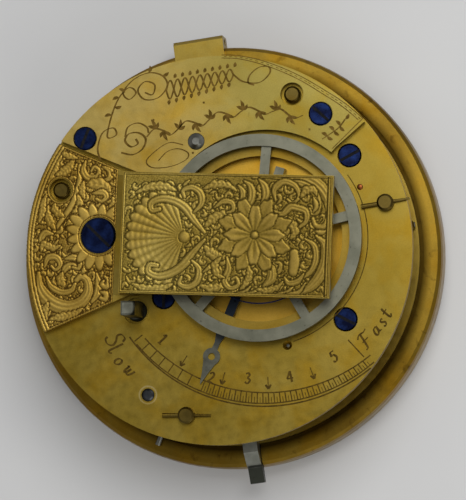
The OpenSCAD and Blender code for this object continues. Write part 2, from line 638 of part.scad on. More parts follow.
module setup_click() color("#777b7e") at(click_at, z_pp0 - 0.75, 155) difference() {
    union() {
        disc(0.85, 0.6);
        linear_extrude(0.6) polygon([[0, 0.8], [1.2, 0.75], [2.3, 0.2], [2.3, 0], [1.2, -0.3], [0, -0.8]]);
    }
    disc(0.45 + seat, 9, -1);
}
module setup_click_screw() color("#27407e") at(click_at, z_pp0 - 0.77) rotate([180, 0, 0])
    screw(0.8, 0.45, 1.7, 30, 0.4);

// Fusee: a cone with a helical groove for the chain, whose shape makes every turn pull alike
function fusee_rad(u) = fusee_r1 + (fusee_r0 - fusee_r1) * pow(1 - max(0, min(1, u / fusee_turns)), 1.35);
fusee_steps = 36;
groove_side = 0.04;
GROOVE = [[0, groove_d], [(chain_w + 2 * groove_side) / turn_h, groove_d], [0.94, 0], [0.98, 0]];
groove_rows = len(GROOVE);
last_row = (fusee_turns + 1) * groove_rows;
fusee_foot = [[1.2 + seat, 0.8], [4.3, 0.8], [4.3, 0], [fusee_r0 + 0.5, 0], [fusee_r0 + 0.5, flange_t]];
ring_size = len(fusee_foot) + last_row + 2;
function row_h(j) = floor(j / groove_rows) + GROOVE[j % groove_rows][0];
// A row's height in turns at the share q of a turn: it closes up at the foot and at the top
function row_z(h, q) = h < 1 ? q * h
    : h <= fusee_turns ? h - 1 + q
    : fusee_turns - (1 - q) * (fusee_turns + 1 - h);
function fusee_ring(q) = concat(fusee_foot, [for (j = [0:last_row])
    [fusee_rad(floor(j / groove_rows) - 1 + q) - GROOVE[j % groove_rows][1],
        flange_t + row_z(row_h(j), q) * turn_h]],
    [[1.2 + seat, cone_h]]);
// The corner's number: the last ring meets the first one, a turn of the groove higher
function fusee_at_row(i, s) = let (foot = len(fusee_foot), j = s - foot, wound = j >= 0 && j <= last_row)
    wound ? (i == 0 ? foot + max(j, groove_rows)
        : i == fusee_steps ? foot + min(j + groove_rows, last_row) : i * ring_size + s)
    : (i % fusee_steps) * ring_size + s;
function whole(t) = t[0] != t[1] && t[1] != t[2] && t[2] != t[0];
module fusee_cone() color("#b8913f") at(fusee_at, cone_z, chain_a + 360 * chain_leaves)
    polyhedron(points = [for (i = [0:fusee_steps - 1]) each [for (p = fusee_ring(i / fusee_steps))
        [p[0] * cos(360 * i / fusee_steps), -p[0] * sin(360 * i / fusee_steps), p[1]]]],
    faces = [for (i = [0:fusee_steps - 1]) each [for (s = [0:ring_size - 1])
        let (n = (s + 1) % ring_size, a = fusee_at_row(i, s), b = fusee_at_row(i, n),
            c = fusee_at_row(i + 1, n), d = fusee_at_row(i + 1, s))
        each [for (t = [[a, c, b], [a, d, c]]) if (whole(t)) t]]]);
module fusee_arbor() color("#777b7e") at(fusee_at) {
    disc(0.6, z_pp1 + 0.2 - z_pp0, z_pp0);
    disc(1.2, z_tp0 - shake - z_pp1 - 0.1, z_pp1 + 0.1);
    disc(1, z_tp1 - 0.5 - z_tp0 + shake + 0.05, z_tp0 - shake);
    rotate(-8.6) difference() {
        block(square_w, square_w, plate_t - 0.5 + square_h, z_tp1 - 0.5);
        for (i = [0:3]) rotate(i * 90) translate([square_w / 2, 0, z_tp1 + square_h]) rotate([0, 45, 0])
            cube([0.25, 3, 0.25], center = true);
    }
}
module great_wheel() color("#c39b45") at(fusee_at, great_z, ang(-fusee_at) - 180 / great_n)
    crossed_wheel(great_n, great_m, centre_leaves, 4, 4.6, 1.2 + run, great_t);
fusee_click_r = 3.55;
module fusee_ratchet() color("#8d7d4a") at(fusee_at, cone_z - 0.02) difference() {
    linear_extrude(0.5) saw_2d(24, 2.5, 0.35);
    disc(1.2 + seat, 9, -1);
}
module fusee_click() color("#777b7e") at(fusee_at, great_z + great_t, -40) translate([fusee_click_r, 0, 0]) {
    disc(0.35, 0.6);
    rotate(118) linear_extrude(0.45) polygon([[0, 0.34], [1.7, 0.25], [1.9, 0], [0, -0.34]]);
}
module click_spring() color("#4a5a80") at(fusee_at, great_z + great_t) linear_extrude(0.35) difference() {
    intersection() {
        circle(4.15);
        polygon([[0, 0], pol(12, -10), pol(12, 50), pol(12, 110), pol(12, 170)]);
    }
    circle(3.98);
}
module fusee_cap() color("#777b7e") at(fusee_at, cap_z, 20) difference() {
    union() {
        disc(1.8, 0.65);
        translate([0, 0, 0.35]) linear_extrude(0.3) {
            circle(2.2);
            polygon([pol(2.1, -30), pol(3.4, -4), pol(3.4, 4), pol(2.1, 10)]);
        }
    }
    disc(1.2 + seat, 9, -1);
}

// Chain: turns in the groove, a straight run, and turns on the barrel, waisted at every link
chain_start = 0.1;
chain_leaves = 3;
turns_on_barrel = 2.8;
chain_gap = 0.03;
fusee_links = 60;
barrel_links = 90;
run_links = 18;
function chain_z(u) = cone_z + flange_t + u * turn_h + groove_side + chain_w / 2;
function chain_in(u) = fusee_rad(u) - groove_d + chain_gap;
chain_rf = chain_in(chain_leaves);
chain_rb = barrel_r + 0.08;
to_barrel = barrel_at - fusee_at;
chain_a = ang(to_barrel) + acos((chain_rf - chain_rb) / norm(to_barrel));
// One ring of the chain: height share w of its width, turned to angle a about point c
function chain_ring(c, r, a, z, w) = [for (q = [[0, -1], [1, -1], [1, 1], [0, 1]])
    let (p = c + pol(r + q[0] * chain_t, a)) [p[0], p[1], z + q[1] * w * chain_w / 2]];
function link_share(i) = i % 2 == 0 ? 1 : link_waist;
fusee_last = round((chain_leaves - chain_start) * fusee_links);
chain_rings = concat(
    [for (i = [fusee_last:-1:0]) let (u = chain_leaves - i / fusee_links)
        chain_ring(fusee_at, chain_in(u), chain_a + i * 360 / fusee_links, chain_z(u), link_share(i))],
    [for (i = [1:run_links - 1]) let (t = i / run_links)
        chain_ring(fusee_at + to_barrel * t, chain_rf + (chain_rb - chain_rf) * t, chain_a,
            chain_z(chain_leaves), link_share(i))],
    [for (i = [0:round(turns_on_barrel * barrel_links)])
        chain_ring(barrel_at, chain_rb, chain_a - i * 360 / barrel_links,
            chain_z(chain_leaves + i / barrel_links), link_share(i))]);
echo(chain_least_gap = turn_h - chain_w);
module fusee_chain() color("#6f6a5c") polyhedron(points = [for (g = chain_rings) each g],
    faces = concat([[0, 1, 2, 3]],
        [for (i = [0:len(chain_rings) - 2]) each [for (j = [0:3]) let (a = 4 * i + j, b = 4 * i + (j + 1) % 4)
            each [[a, a + 4, b + 4], [a, b + 4, b]]]],
        [[for (j = [3:-1:0]) 4 * (len(chain_rings) - 1) + j]]));

// Train: each arbor with its pinion, and the wheel on it
module centre_arbor() color("#777b7e") {
    disc(0.45, z_pp0 - 0.05, 0.05);
    disc(0.75, floor_z + 0.1 - z_pp0 + 0.3, z_pp0 - 0.3);
    disc(1.25, great_z - 0.1 - floor_z - shake, floor_z + shake);
    translate([0, 0, great_z - 0.12]) rotate(ang(-fusee_at) + 180) linear_extrude(great_t + 0.3)
        pinion_2d(centre_leaves, great_m);
    disc(0.45, z_tp0 - shake - great_z - 0.8, great_z + 0.8);
    disc(0.25, 0.45, z_tp0 - 0.1);
}
module centre_wheel() color("#c39b45") at([0, 0], centre_z, third_a - 180 / centre_n)
    crossed_wheel(centre_n, centre_m, leaves, 4, 2.1, 1.25 + seat, wheel_t);
module cannon_pinion() color("#777b7e") difference() {
    union() {
        disc(0.62, z_pp0 - 0.55, 0.2);
        translate([0, 0, z_pp0 - 1.1]) rotate(ang(post_at)) linear_extrude(0.75)
            pinion_2d(cannon_n, motion_m);
    }
    disc(0.45 + seat, 20, -5);
}
module small_arbor(z0, zp, zl, zt, m, a) {
    disc(0.2, z0 + 0.1 - z_pp0 - 0.3, z_pp0 + 0.3);
    disc(arbor_r, zt - shake - z0 - 0.06, z0 + 0.06);
    translate([0, 0, zp]) rotate(a) linear_extrude(zl) pinion_2d(leaves, m);
    disc(0.14, 0.5, zt - 0.1);
}
module third_arbor() color("#777b7e") at(third_at) {
    small_arbor(floor_z, floor_z + 0.15, 1.05, z_tp0, centre_m, third_a + 180);
    disc(0.55, third_z + 0.15 - floor_z - 1.1, floor_z + 1.1);
}
to_next = contrate_at - third_at;
module third_wheel() color("#c39b45") at(third_at, third_z, ang(to_next) - 180 / third_n)
    crossed_wheel(third_n, third_m, leaves, 4, 1.1, 0.55 + seat, wheel_t - 0.05);
module contrate_arbor() color("#777b7e") at(contrate_at) {
    small_arbor(z_pp1, third_z - 0.35, 1.05, z_tp0, third_m, ang(to_next) + 180);
    disc(0.5, contrate_z + 0.2 - third_z - 0.7, third_z + 0.7);
}
contrate_root = contrate_top - 0.42;
module contrate_wheel() color("#c39b45")
    at(contrate_at, contrate_z, ang(mesh_at - contrate_at) - 180 / contrate_n) {
        difference() {
            disc(contrate_pr + 0.2, wheel_t - 0.05);
            translate([0, 0, -1]) windows(1.1, contrate_pr - 0.55, 4, 0.6, 3);
            disc(0.5 + seat, 9, -1);
        }
        tube(contrate_pr + 0.2, contrate_pr - 0.2, contrate_root - contrate_z);
        for (i = [0:contrate_n - 1]) rotate(i * 360 / contrate_n)
            translate([contrate_pr - 0.19, 0, contrate_root - contrate_z - 0.01]) rotate([90, 0, 90])
                linear_extrude(0.38) polygon([[-0.14, 0], [0.14, 0], [0.1, 0.2], [0.05, 0.43],
                    [-0.05, 0.43], [-0.1, 0.2]]);
    }
module escape_arbor() color("#777b7e") escape_line() {
    disc(0.12, 0.6, 1.1);
    disc(arbor_r, counter_l - 0.06 - 1.6, 1.6);
    translate([0, 0, mesh_l - 0.65]) linear_extrude(1.3) pinion_2d(leaves, contrate_m);
    disc(0.12, 0.5, counter_l - 0.1);
}
module crown_wheel() color("#c39b45") escape_line() {
    tube(crown_r, crown_r - 0.3, 0.7, tips_l + crown_tooth);
    difference() {
        disc(crown_r - 0.1, 0.3, tips_l + crown_tooth + 0.4);
        translate([0, 0, 0]) windows(0.8, crown_r - 0.35, 3, 0.5, 9);
        disc(arbor_r + seat, 9, 0);
    }
    for (i = [0:crown_n - 1]) rotate((i + 0.25) * 360 / crown_n) translate([crown_r - 0.3, 0, 0])
        rotate([90, 0, 90]) linear_extrude(0.3) polygon([[-0.38, tips_l + crown_tooth + 0.01],
            [0.38, tips_l + crown_tooth + 0.01], [-0.2, tips_l], [-0.3, tips_l], [-0.38, tips_l + 0.3]]);
}

// Stop work: the rising chain lifts an iron into the way of the fusee's beak
stop_to = fusee_at - stop_at;
stop_dir = ang(stop_to) + asin(3.2 / norm(stop_to));
iron_z = z_tp0 - 1.35;
module on_stop(z = 0) at(stop_at, z, stop_dir) children();
module stop_block() color("#b98f3c") on_stop(z_tp0) difference() {
    translate([-0.9, -0.9, -1.7]) cube([3, 1.8, 1.7]);
    translate([0.7, -0.3, -5]) cube([5, 0.6, 5 - 0.35]);
    disc(0.4 + seat, 9, -4);
    translate([1.5, 2, -1.15]) rotate([90, 0, 0]) cylinder(r = 0.2 + run, h = 4);
}
module stop_stud() color("#2c3036") at(stop_at) {
    disc(0.4, 1.6, z_tp0 - 1.5);
    disc(0.64, plate_t - 0.1, z_tp0 + seat);
    translate([0, 0, z_tp1 - 0.1]) cylinder(r1 = 0.64, r2 = 0.4, h = 0.16);
}
module stop_iron() color("#777b7e") on_stop(z_tp0) {
    translate([1.5, 0.85, -1.15]) rotate([90, 0, 0]) cylinder(r = 0.2, h = 1.7);
    translate([1.5, 0.24, -1.15]) rotate([90, 0, 0]) cylinder(r = 0.4, h = 0.48);
    translate([1.5, 0.24, 0]) rotate([90, 0, 0]) linear_extrude(0.48)
        polygon([[0, -1.5], [0, -0.8], [6.3, -0.95], [6.3, -1.35], [3, -1.4]]);
}
leaf_end = stop_at + turn([4, 0], stop_dir);
module stop_spring() color("#4a5a80") difference() {
    union() {
        translate([0, 0, z_tp0 - 0.3]) linear_extrude(0.3) translate(stop_screw_at) circle(1.1);
        translate([0, 0, z_tp0 - 0.25]) linear_extrude(0.2) bar_2d(stop_screw_at, leaf_end, 0.7);
        at(leaf_end) disc(0.35, 0.65, z_tp0 - 0.7);
    }
    at(stop_screw_at) disc(0.5, 9, z_tp0 - 4);
}

// Motion work on the dial side
module minute_post() color("#777b7e") at(post_at) {
    disc(0.36, floor_z - 0.05 - z_pp0 + 2.1, z_pp0 - 2.1);
    disc(0.6, 0.3, z_pp0 - 0.3);
}
module minute_wheel() color("#c39b45") at(post_at) difference() {
    union() {
        translate([0, 0, z_pp0 - 0.8]) rotate(ang(-post_at) - 180 / minute_n)
            linear_extrude(0.35) wheel_2d(minute_n, motion_m, cannon_n);
        translate([0, 0, z_pp0 - 1.9]) rotate(ang(post_at) + 180)
            linear_extrude(1.2) pinion_2d(minute_leaves, motion_m);
    }
    disc(0.36 + run, 20, -5);
}
module hour_wheel() color("#c39b45") difference() {
    union() {
        translate([0, 0, z_pp0 - 1.75]) rotate(ang(post_at) - 180 / hour_n)
            linear_extrude(0.35) wheel_2d(hour_n, motion_m, minute_leaves);
        disc(0.95, z_pp0 - 1.6 - 0.3, 0.3);
    }
    disc(0.62 + run, 20, -5);
}

// Bolt that catches the case, with its screw and spring
bolt_screw_y = -16.6;
bolt_end_y = bolt_screw_y + 1.7;
bolt_lift = 0.03;
bolt_head_r = 0.8;
riser_y = bolt_screw_y - bolt_travel - bolt_head_r - 0.1;
module case_bolt() color("#7f8284") translate([latch_x, 0, 0]) difference() {
    union() {
        translate([-bolt_w / 2, 0, 0]) rotate([90, 0, 90]) linear_extrude(bolt_w)
            polygon([[-edge_r - bolt_out, z_pp0 + 0.5], [-edge_r + 0.9, z_pp0 + 0.5],
                [-edge_r + 1.1, z_pp1 + bolt_lift], [bolt_end_y, z_pp1 + bolt_lift],
                [bolt_end_y, z_pp1 + 0.55],
                [riser_y, z_pp1 + 0.55], [riser_y - 0.2, z_pp1 + 1.9], [-edge_r + 1.5, z_pp1 + 1.9],
                [-edge_r + 0.2, z_pp1 + 0.95], [-edge_r, z_pp1 + 0.45], [-edge_r - bolt_out, z_pp1 + 0.1]]);
    }
    translate([-0.5, bolt_screw_y - bolt_travel - 0.5, 0]) cube([1, bolt_travel + 1, 9]);
}
module bolt_screw() color("#6a6d70") at([latch_x, bolt_screw_y], z_pp1 + 0.6)
    screw(bolt_head_r, 0.45, 1.6, 25, 0.4);
spring_at = [4.2, -14.4];
module bolt_spring() color("#4a5a80") {
    at(spring_at) disc(0.35, 1.5, z_pp0 + 0.2);
    translate([0, 0, z_pp1 + 0.05]) linear_extrude(0.45) {
        translate(spring_at) circle(0.6);
        bar_2d(spring_at + [0, 0.3], [latch_x - 0.7, bolt_end_y + 0.2], 0.22);
    }
}

pillar_plate();
brass_edge();
edge_pins();
hinge_lug();
pillars();
pillar_pins();
top_plate();
barrel_bridge();
bridge_screws();
balance_cock();
cock_screw();
potence_screws();
regulator_cap();
cap_screws();
regulator_lever();
balance_wheel();
verge_staff();
balance_collet();
hairspring();
hairspring_stud();
potence();
counter_potence();
escape_plug();
mainspring_barrel();
barrel_cover();
barrel_arbor();
mainspring();
setup_ratchet();
setup_click();
setup_click_screw();
fusee_cone();
fusee_arbor();
great_wheel();
fusee_ratchet();
fusee_click();
click_spring();
fusee_cap();
fusee_chain();
centre_arbor();
centre_wheel();
cannon_pinion();
third_arbor();
third_wheel();
contrate_arbor();
contrate_wheel();
escape_arbor();
crown_wheel();
stop_block();
stop_stud();
stop_iron();
stop_spring();
minute_post();
minute_wheel();
hour_wheel();
case_bolt();
bolt_screw();
bolt_spring();
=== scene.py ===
import bpy
from functools import partial
from math import cos, dist, pi, radians, sin, sqrt
import numpy as np
from mathutils import Matrix, Vector


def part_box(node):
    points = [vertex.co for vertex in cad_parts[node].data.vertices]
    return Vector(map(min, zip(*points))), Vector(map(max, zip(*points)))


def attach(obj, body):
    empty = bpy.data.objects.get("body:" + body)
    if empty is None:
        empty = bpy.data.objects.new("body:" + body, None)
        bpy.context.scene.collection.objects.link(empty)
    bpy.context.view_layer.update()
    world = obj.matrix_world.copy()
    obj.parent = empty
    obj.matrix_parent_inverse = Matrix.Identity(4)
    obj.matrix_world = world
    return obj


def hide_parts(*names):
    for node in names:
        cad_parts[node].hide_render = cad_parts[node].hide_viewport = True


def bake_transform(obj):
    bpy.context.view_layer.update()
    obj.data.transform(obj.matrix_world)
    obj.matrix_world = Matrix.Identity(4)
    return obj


# A verge watch movement: gilded plates, a carved and gilded cock, steel balance and blued screws.
# Lengths are in millimetres here and in metres in the meshes. +Y is twelve o'clock; up is the side of
# the balance.
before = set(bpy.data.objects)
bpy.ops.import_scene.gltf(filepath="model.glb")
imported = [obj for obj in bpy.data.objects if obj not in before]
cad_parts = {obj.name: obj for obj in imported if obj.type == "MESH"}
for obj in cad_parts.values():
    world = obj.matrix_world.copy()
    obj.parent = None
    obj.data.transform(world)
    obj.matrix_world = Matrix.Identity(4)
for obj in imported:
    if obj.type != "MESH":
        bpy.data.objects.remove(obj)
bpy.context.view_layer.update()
MM = 0.001
low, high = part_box("balance_wheel")
BALANCE = np.array([(low.x + high.x) / 2, (low.y + high.y) / 2]) / MM
# The top plate's upper side, that of the bridge and of the cock's foot, and that of the cock's table
PLATE_TOP, FOOT_TOP, TABLE_TOP = (round(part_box(node)[1].z / MM, 3)
                                  for node in ("top_plate", "barrel_bridge", "balance_cock"))
COCK_SCREW = (-11.52, 3.04)
STOP_STUD = (-8.82, -13.22)
COPPER_PIN = (14.79, 3.96)
# Where the key fits the winding square; painted shade darkens its flanks round this axis
WINDING_SQUARE = (-9.12, -4.7)
# How far the carving's bed lies over the plain metal, and how high the carving stands over the bed
BED, RELIEF = 0.004, 0.07
# Edges sharper than this stay crisp
CREASE = radians(32)


def fade(x):
    """Rises smoothly from 0 at x = 0 to 1 at x = 1."""
    x = np.clip(x, 0, 1)
    return x * x * (3 - 2 * x)


def ray(angle):
    """The direction at an angle in degrees, as an array."""
    return np.array([cos(radians(angle)), sin(radians(angle))])


# Materials. Every pattern reads Object coordinates, turned into millimetres
def linear(code):
    """An sRGB hex value as linear RGBA."""
    parts = [int(code[i:i + 2], 16) / 255 for i in (1, 3, 5)]
    return (*(c / 12.92 if c <= 0.04045 else ((c + 0.055) / 1.055) ** 2.4 for c in parts), 1)


MULTIPLY = {"data_type": "RGBA", "blend_type": "MULTIPLY"}
# The values between which nearly all of a noise lies
SPAN = {"From Min": 0.3, "From Max": 0.7}


def feed(node, inputs):
    """Gives a node its inputs: values, sockets, or other nodes, of which the first output in use is
    linked."""
    for name, value in inputs.items():
        if isinstance(value, bpy.types.Node):
            value = next(output for output in value.outputs if output.enabled)
        if isinstance(value, bpy.types.NodeSocket):
            node.id_data.links.new(value, node.inputs[name])
        else:
            node.inputs[name].default_value = value


def add_node(tree, kind, inputs, stops=(), **settings):
    """Adds a node: its settings, the (place, colour) stops of a ramp, then its inputs."""
    node = tree.nodes.new("ShaderNode" + kind)
    for name, value in settings.items():
        setattr(node, name, value)
    for _ in stops[2:]:
        node.color_ramp.elements.new(0.5)
    for number, (place, code) in enumerate(stops):
        node.color_ramp.elements[number].position = place
        node.color_ramp.elements[number].color = linear(code)
    feed(node, inputs)
    return node


def new_material(name):
    """A material, what adds nodes to its tree, its shader and the surface's place in millimetres."""
    material = bpy.data.materials.new(name)
    material.use_nodes = True
    add = partial(add_node, material.node_tree)
    place = add("TexCoord", {})
    mm = add("VectorMath", {0: place.outputs["Object"], "Scale": 1 / MM}, operation="SCALE")
    return material, add, material.node_tree.nodes["Principled BSDF"], mm


def gilt(name, pale, deep, stain, rough, stain_from):
    """Fire-gilt brass: slow changes of tone some 6 mm wide, warmer where the gold lies thick, browner
    stains of about 1 mm where it has worn, and a matt frosted grain, drawn 0.1 mm coarse so that it
    shows."""
    material, add, shader, mm = new_material(name)
    slow = add("TexNoise", {"Vector": mm, "Scale": 0.16, "Detail": 4})
    tone = add("ValToRGB", {"Fac": slow}, [(0.36, deep), (0.62, pale)])
    grain = add("TexNoise", {"Vector": mm, "Scale": 9, "Detail": 2})
    grey = add("ValToRGB", {"Fac": grain}, [(0.3, "#efefef"), (0.7, "#ffffff")])
    grained = add("Mix", {0: 1.0, 6: tone, 7: grey}, **MULTIPLY)
    thick = add("TexNoise", {"Vector": mm, "Scale": 0.3, "Detail": 3, "Distortion": 0.4})
    warmth = add("ValToRGB", {"Fac": thick}, [(0.45, "#ffffff"), (0.68, "#fff2bc")])
    warmed = add("Mix", {0: 1.0, 6: grained, 7: warmth}, **MULTIPLY)
    worn = add("TexNoise", {"Vector": mm, "Scale": 0.9, "Detail": 6, "Distortion": 0.6})
    amount = add("MapRange", {"Value": worn, "From Min": stain_from, "From Max": stain_from + 0.13,
                              "To Max": 0.7})
    colour = add("Mix", {0: amount, 6: warmed, 7: linear(stain)}, data_type="RGBA")
    patches = add("TexNoise", {"Vector": mm, "Scale": 1.3, "Detail": 4})
    matt = add("MapRange", {"Value": patches, **SPAN, "To Min": rough - 0.05, "To Max": rough + 0.07})
    frost = add("TexNoise", {"Vector": mm, "Scale": 16, "Detail": 3})
    bump = add("Bump", {"Height": frost, "Strength": 0.16, "Distance": 0.012 * MM})
    feed(shader, {"Metallic": 1.0, "Base Color": colour, "Roughness": matt, "Normal": bump})
    return material


def tint_by_radius(material, axis, tinted, clean, tint):
    """Darkens or warms the material by a tint at one radius from an upright axis, down to nothing at
    the other, in millimetres."""
    add, shader = partial(add_node, material.node_tree), material.node_tree.nodes["Principled BSDF"]
    place = add("TexCoord", {})
    flat = add("VectorMath", {0: place.outputs["Object"], 1: (1 / MM, 1 / MM, 0)}, operation="MULTIPLY")
    away = add("VectorMath", {0: flat, 1: (*axis, 0)}, operation="DISTANCE")
    share = add("MapRange", {"Value": away, "From Min": clean, "From Max": tinted})
    own = shader.inputs["Base Color"].links[0].from_socket
    feed(shader, {"Base Color": add("Mix", {0: share, 6: own, 7: linear(tint)}, **MULTIPLY)})
    return material


def carved_gilt(name, ground, flank, crest, bed):
    """Carved and gilded brass whose tone follows the height over the bed: the ground between the leaves
    is dark, partly with dirt and partly as painted shade in the hollows, and the crests are pale, partly
    rubbed and partly a painted highlight. Painted shade makes the end over the balance darker than the
    end at the foot."""
    material, add, shader, mm = new_material(name)
    parts = add("SeparateXYZ", {0: mm})
    height = add("MapRange", {"Value": parts.outputs["Z"], "From Min": bed,
                              "From Max": bed + BED + RELIEF})
    speckle = add("TexNoise", {"Vector": mm, "Scale": 5, "Detail": 4})
    shift = add("MapRange", {"Value": speckle, **SPAN, "To Min": -0.16, "To Max": 0.16})
    total = add("Math", {0: height, 1: shift}, operation="ADD")
    # Painted shade in the hollows and painted highlight on the crests, mixed with dirt and rubbing
    tone = add("ValToRGB", {"Fac": total}, [(0.0, ground), (0.12, ground), (0.42, flank), (1.0, crest)])
    slow = add("TexNoise", {"Vector": mm, "Scale": 0.25, "Detail": 3})
    wash = add("ValToRGB", {"Fac": slow}, [(0.35, "#e4dcc4"), (0.65, "#ffffff")])
    # Painted shade: darker toward +X, the end over the balance
    far = add("MapRange", {"Value": parts.outputs["X"], "From Min": -6.0, "From Max": 6.0})
    painted_end_shade = add("Mix", {0: far, 6: wash, 7: linear("#cdc5b2")}, data_type="RGBA")
    colour = add("Mix", {0: 1.0, 6: tone, 7: painted_end_shade}, **MULTIPLY)
    frost = add("TexNoise", {"Vector": mm, "Scale": 14, "Detail": 3})
    bump = add("Bump", {"Height": frost, "Strength": 0.25, "Distance": 0.012 * MM})
    feed(shader, {"Metallic": 1.0, "Base Color": colour, "Roughness": 0.46, "Normal": bump})
    return material


def ground_steel(name, pale, deep, rough):
    """Hardened steel, ground flat and lightly oiled: a fine grain of grinding marks, cloudy patches
    of 2 mm and small darker spots of old rust."""
    material, add, shader, mm = new_material(name)
    cloud = add("TexNoise", {"Vector": mm, "Scale": 0.5, "Detail": 5})
    tone = add("ValToRGB", {"Fac": cloud}, [(0.34, deep), (0.6, pale)])
    rust = add("TexNoise", {"Vector": mm, "Scale": 3.2, "Detail": 5})
    amount = add("MapRange", {"Value": rust, "From Min": 0.66, "From Max": 0.74, "To Max": 0.6})
    colour = add("Mix", {0: amount, 6: tone, 7: linear("#3a352b")}, data_type="RGBA")
    patches = add("TexNoise", {"Vector": mm, "Scale": 2.1, "Detail": 4})
    matt = add("MapRange", {"Value": patches, **SPAN, "To Min": rough - 0.05, "To Max": rough + 0.08})
    marks = add("TexNoise", {"Vector": mm, "Scale": 7, "Detail": 3})
    bump = add("Bump", {"Height": marks, "Strength": 0.2, "Distance": 0.008 * MM})
    feed(shader, {"Metallic": 1.0, "Base Color": colour, "Roughness": matt, "Normal": bump})
    return material


def blued_steel(name, deep, bloom, rough):
    """Polished steel blued by heat: a deep navy with a lighter bloom, and the faint scratches of the
    screwdriver."""
    material, add, shader, mm = new_material(name)
    cloud = add("TexNoise", {"Vector": mm, "Scale": 0.9, "Detail": 3})
    tone = add("ValToRGB", {"Fac": cloud}, [(0.35, deep), (0.7, bloom)])
    patches = add("TexNoise", {"Vector": mm, "Scale": 4, "Detail": 3})
    matt = add("MapRange", {"Value": patches, **SPAN, "To Min": rough, "To Max": rough + 0.12})
    marks = add("TexNoise", {"Vector": mm, "Scale": 11, "Detail": 2})
    bump = add("Bump", {"Height": marks, "Strength": 0.12, "Distance": 0.006 * MM})
    feed(shader, {"Metallic": 1.0, "Base Color": tone, "Roughness": matt, "Normal": bump})
    return material


def dark_fill(name, deep, pale):
    """Old oil and dust that fills an engraved line, so that the cut reads as a dull brown stroke. Laid in
    screw slots, the same fill is painted shadow.
    """
    material, add, shader, mm = new_material(name)
    dust = add("TexNoise", {"Vector": mm, "Scale": 3, "Detail": 4})
    tone = add("ValToRGB", {"Fac": dust}, [(0.35, deep), (0.65, pale)])
    feed(shader, {"Roughness": 0.8, "Specular IOR Level": 0.1, "Base Color": tone})
    return material


MATERIALS = {material.name: material for material in (
    # Old fire gilding, gone a little brown
    gilt("fire_gilt_plate", "#967e36", "#8c7430", "#6a5020", 0.37, 0.74),
    gilt("fire_gilt_cock", "#a08a40", "#8e7834", "#664e20", 0.36, 0.7),
    # Paler near the cock's foot, duller and cooler toward the rim and the right end
    tint_by_radius(gilt("fire_gilt_bridge", "#af9854", "#a38b47", "#775c28", 0.38, 0.7),
                   (-10, 11), 16, 8, "#d7e0d4"),
    # Painted shade: darker in the corner beside the pillar plate, where the top plate's edge shades the
    # ledge below
    tint_by_radius(gilt("fire_gilt_edge", "#907429", "#7a6020", "#513a12", 0.34, 0.6),
                   (0, 0), 19.5, 20.4, "#837f81"),
    # Painted light: brighter and warmer in the sink under the balance, where the cock's table casts
    # shade; the plate outside the sink is tinted back duller
    tint_by_radius(gilt("gilt_plate_painted_sink_light", "#c19b3f", "#b38e33", "#7a5b24", 0.37, 0.74),
                   BALANCE, 8.2, 8.1, "#c5d2e0"),
    # Wheels and barrel, clean from the lathe and the file
    gilt("turned_brass", "#ac9048", "#967a38", "#6c5226", 0.3, 0.66),
    # Pillar ends and pins, never gilded and nearly brown
    gilt("riveted_brass", "#6c5c2c", "#5a4b22", "#403418", 0.34, 0.62),
    # The balance: grey and dry
    ground_steel("ground_ring_steel", "#727162", "#626254", 0.42),
    # Arbors, clicks and small screws, kept bright by oil
    ground_steel("oiled_steel", "#7e7e76", "#62625c", 0.34),
    # The chain and the stop stud, dark with old grease
    ground_steel("brown_steel", "#46484a", "#303234", 0.3),
    # Painted light and shade: paler than the other steel on its slide, dark on the nose past the edge,
    # which lies in shadow
    tint_by_radius(ground_steel("bolt_steel", "#98998e", "#7e7f74", 0.36), (0, 0), 21.5, 21.0, "#6f716c"),
    # Painted shade: the winding square's end keeps the steel's tone, while its flanks and the arbor below
    # them, down in the hole, are darkened
    tint_by_radius(ground_steel("square_steel_painted_shade", "#828376", "#646458", 0.36),
                   WINDING_SQUARE, 0.95, 0.75, "#55534b"),
    # Grey along the pointer; painted shade darkens its root, under the balance, to a dark blue-grey
    tint_by_radius(ground_steel("pointer_steel", "#66665a", "#56564c", 0.34),
                   BALANCE, 9.8, 12.2, "#6b799d"),
    # Screws polished and blued, springs blued and left satin
    blued_steel("blued_screw_steel", "#10142a", "#1c2b56", 0.24),
    blued_steel("blued_spring_steel", "#202840", "#364066", 0.28),
    # The cock's chased table and foot
    carved_gilt("carved_table", "#4f4420", "#887534", "#ab954f", TABLE_TOP),
    carved_gilt("carved_foot", "#4a3716", "#8a6f2e", "#ac9046", FOOT_TOP),
    # Cuts in the plate, shallower and paler ones on the bridge, and the shadow in screw slots
    dark_fill("engraved_line", "#3a2b09", "#544112"),
    dark_fill("worn_line", "#4e3b10", "#6a5220"),
    dark_fill("slot_shade", "#0a0c12", "#1c1a18"),
    # Metal scraped bare round the stop stud, and a plug of copper
    gilt("bare_halo", "#a39260", "#94824e", "#77663c", 0.42, 0.7),
    gilt("copper_pin", "#8c5430", "#6e3e20", "#4a2812", 0.34, 0.6),
)}
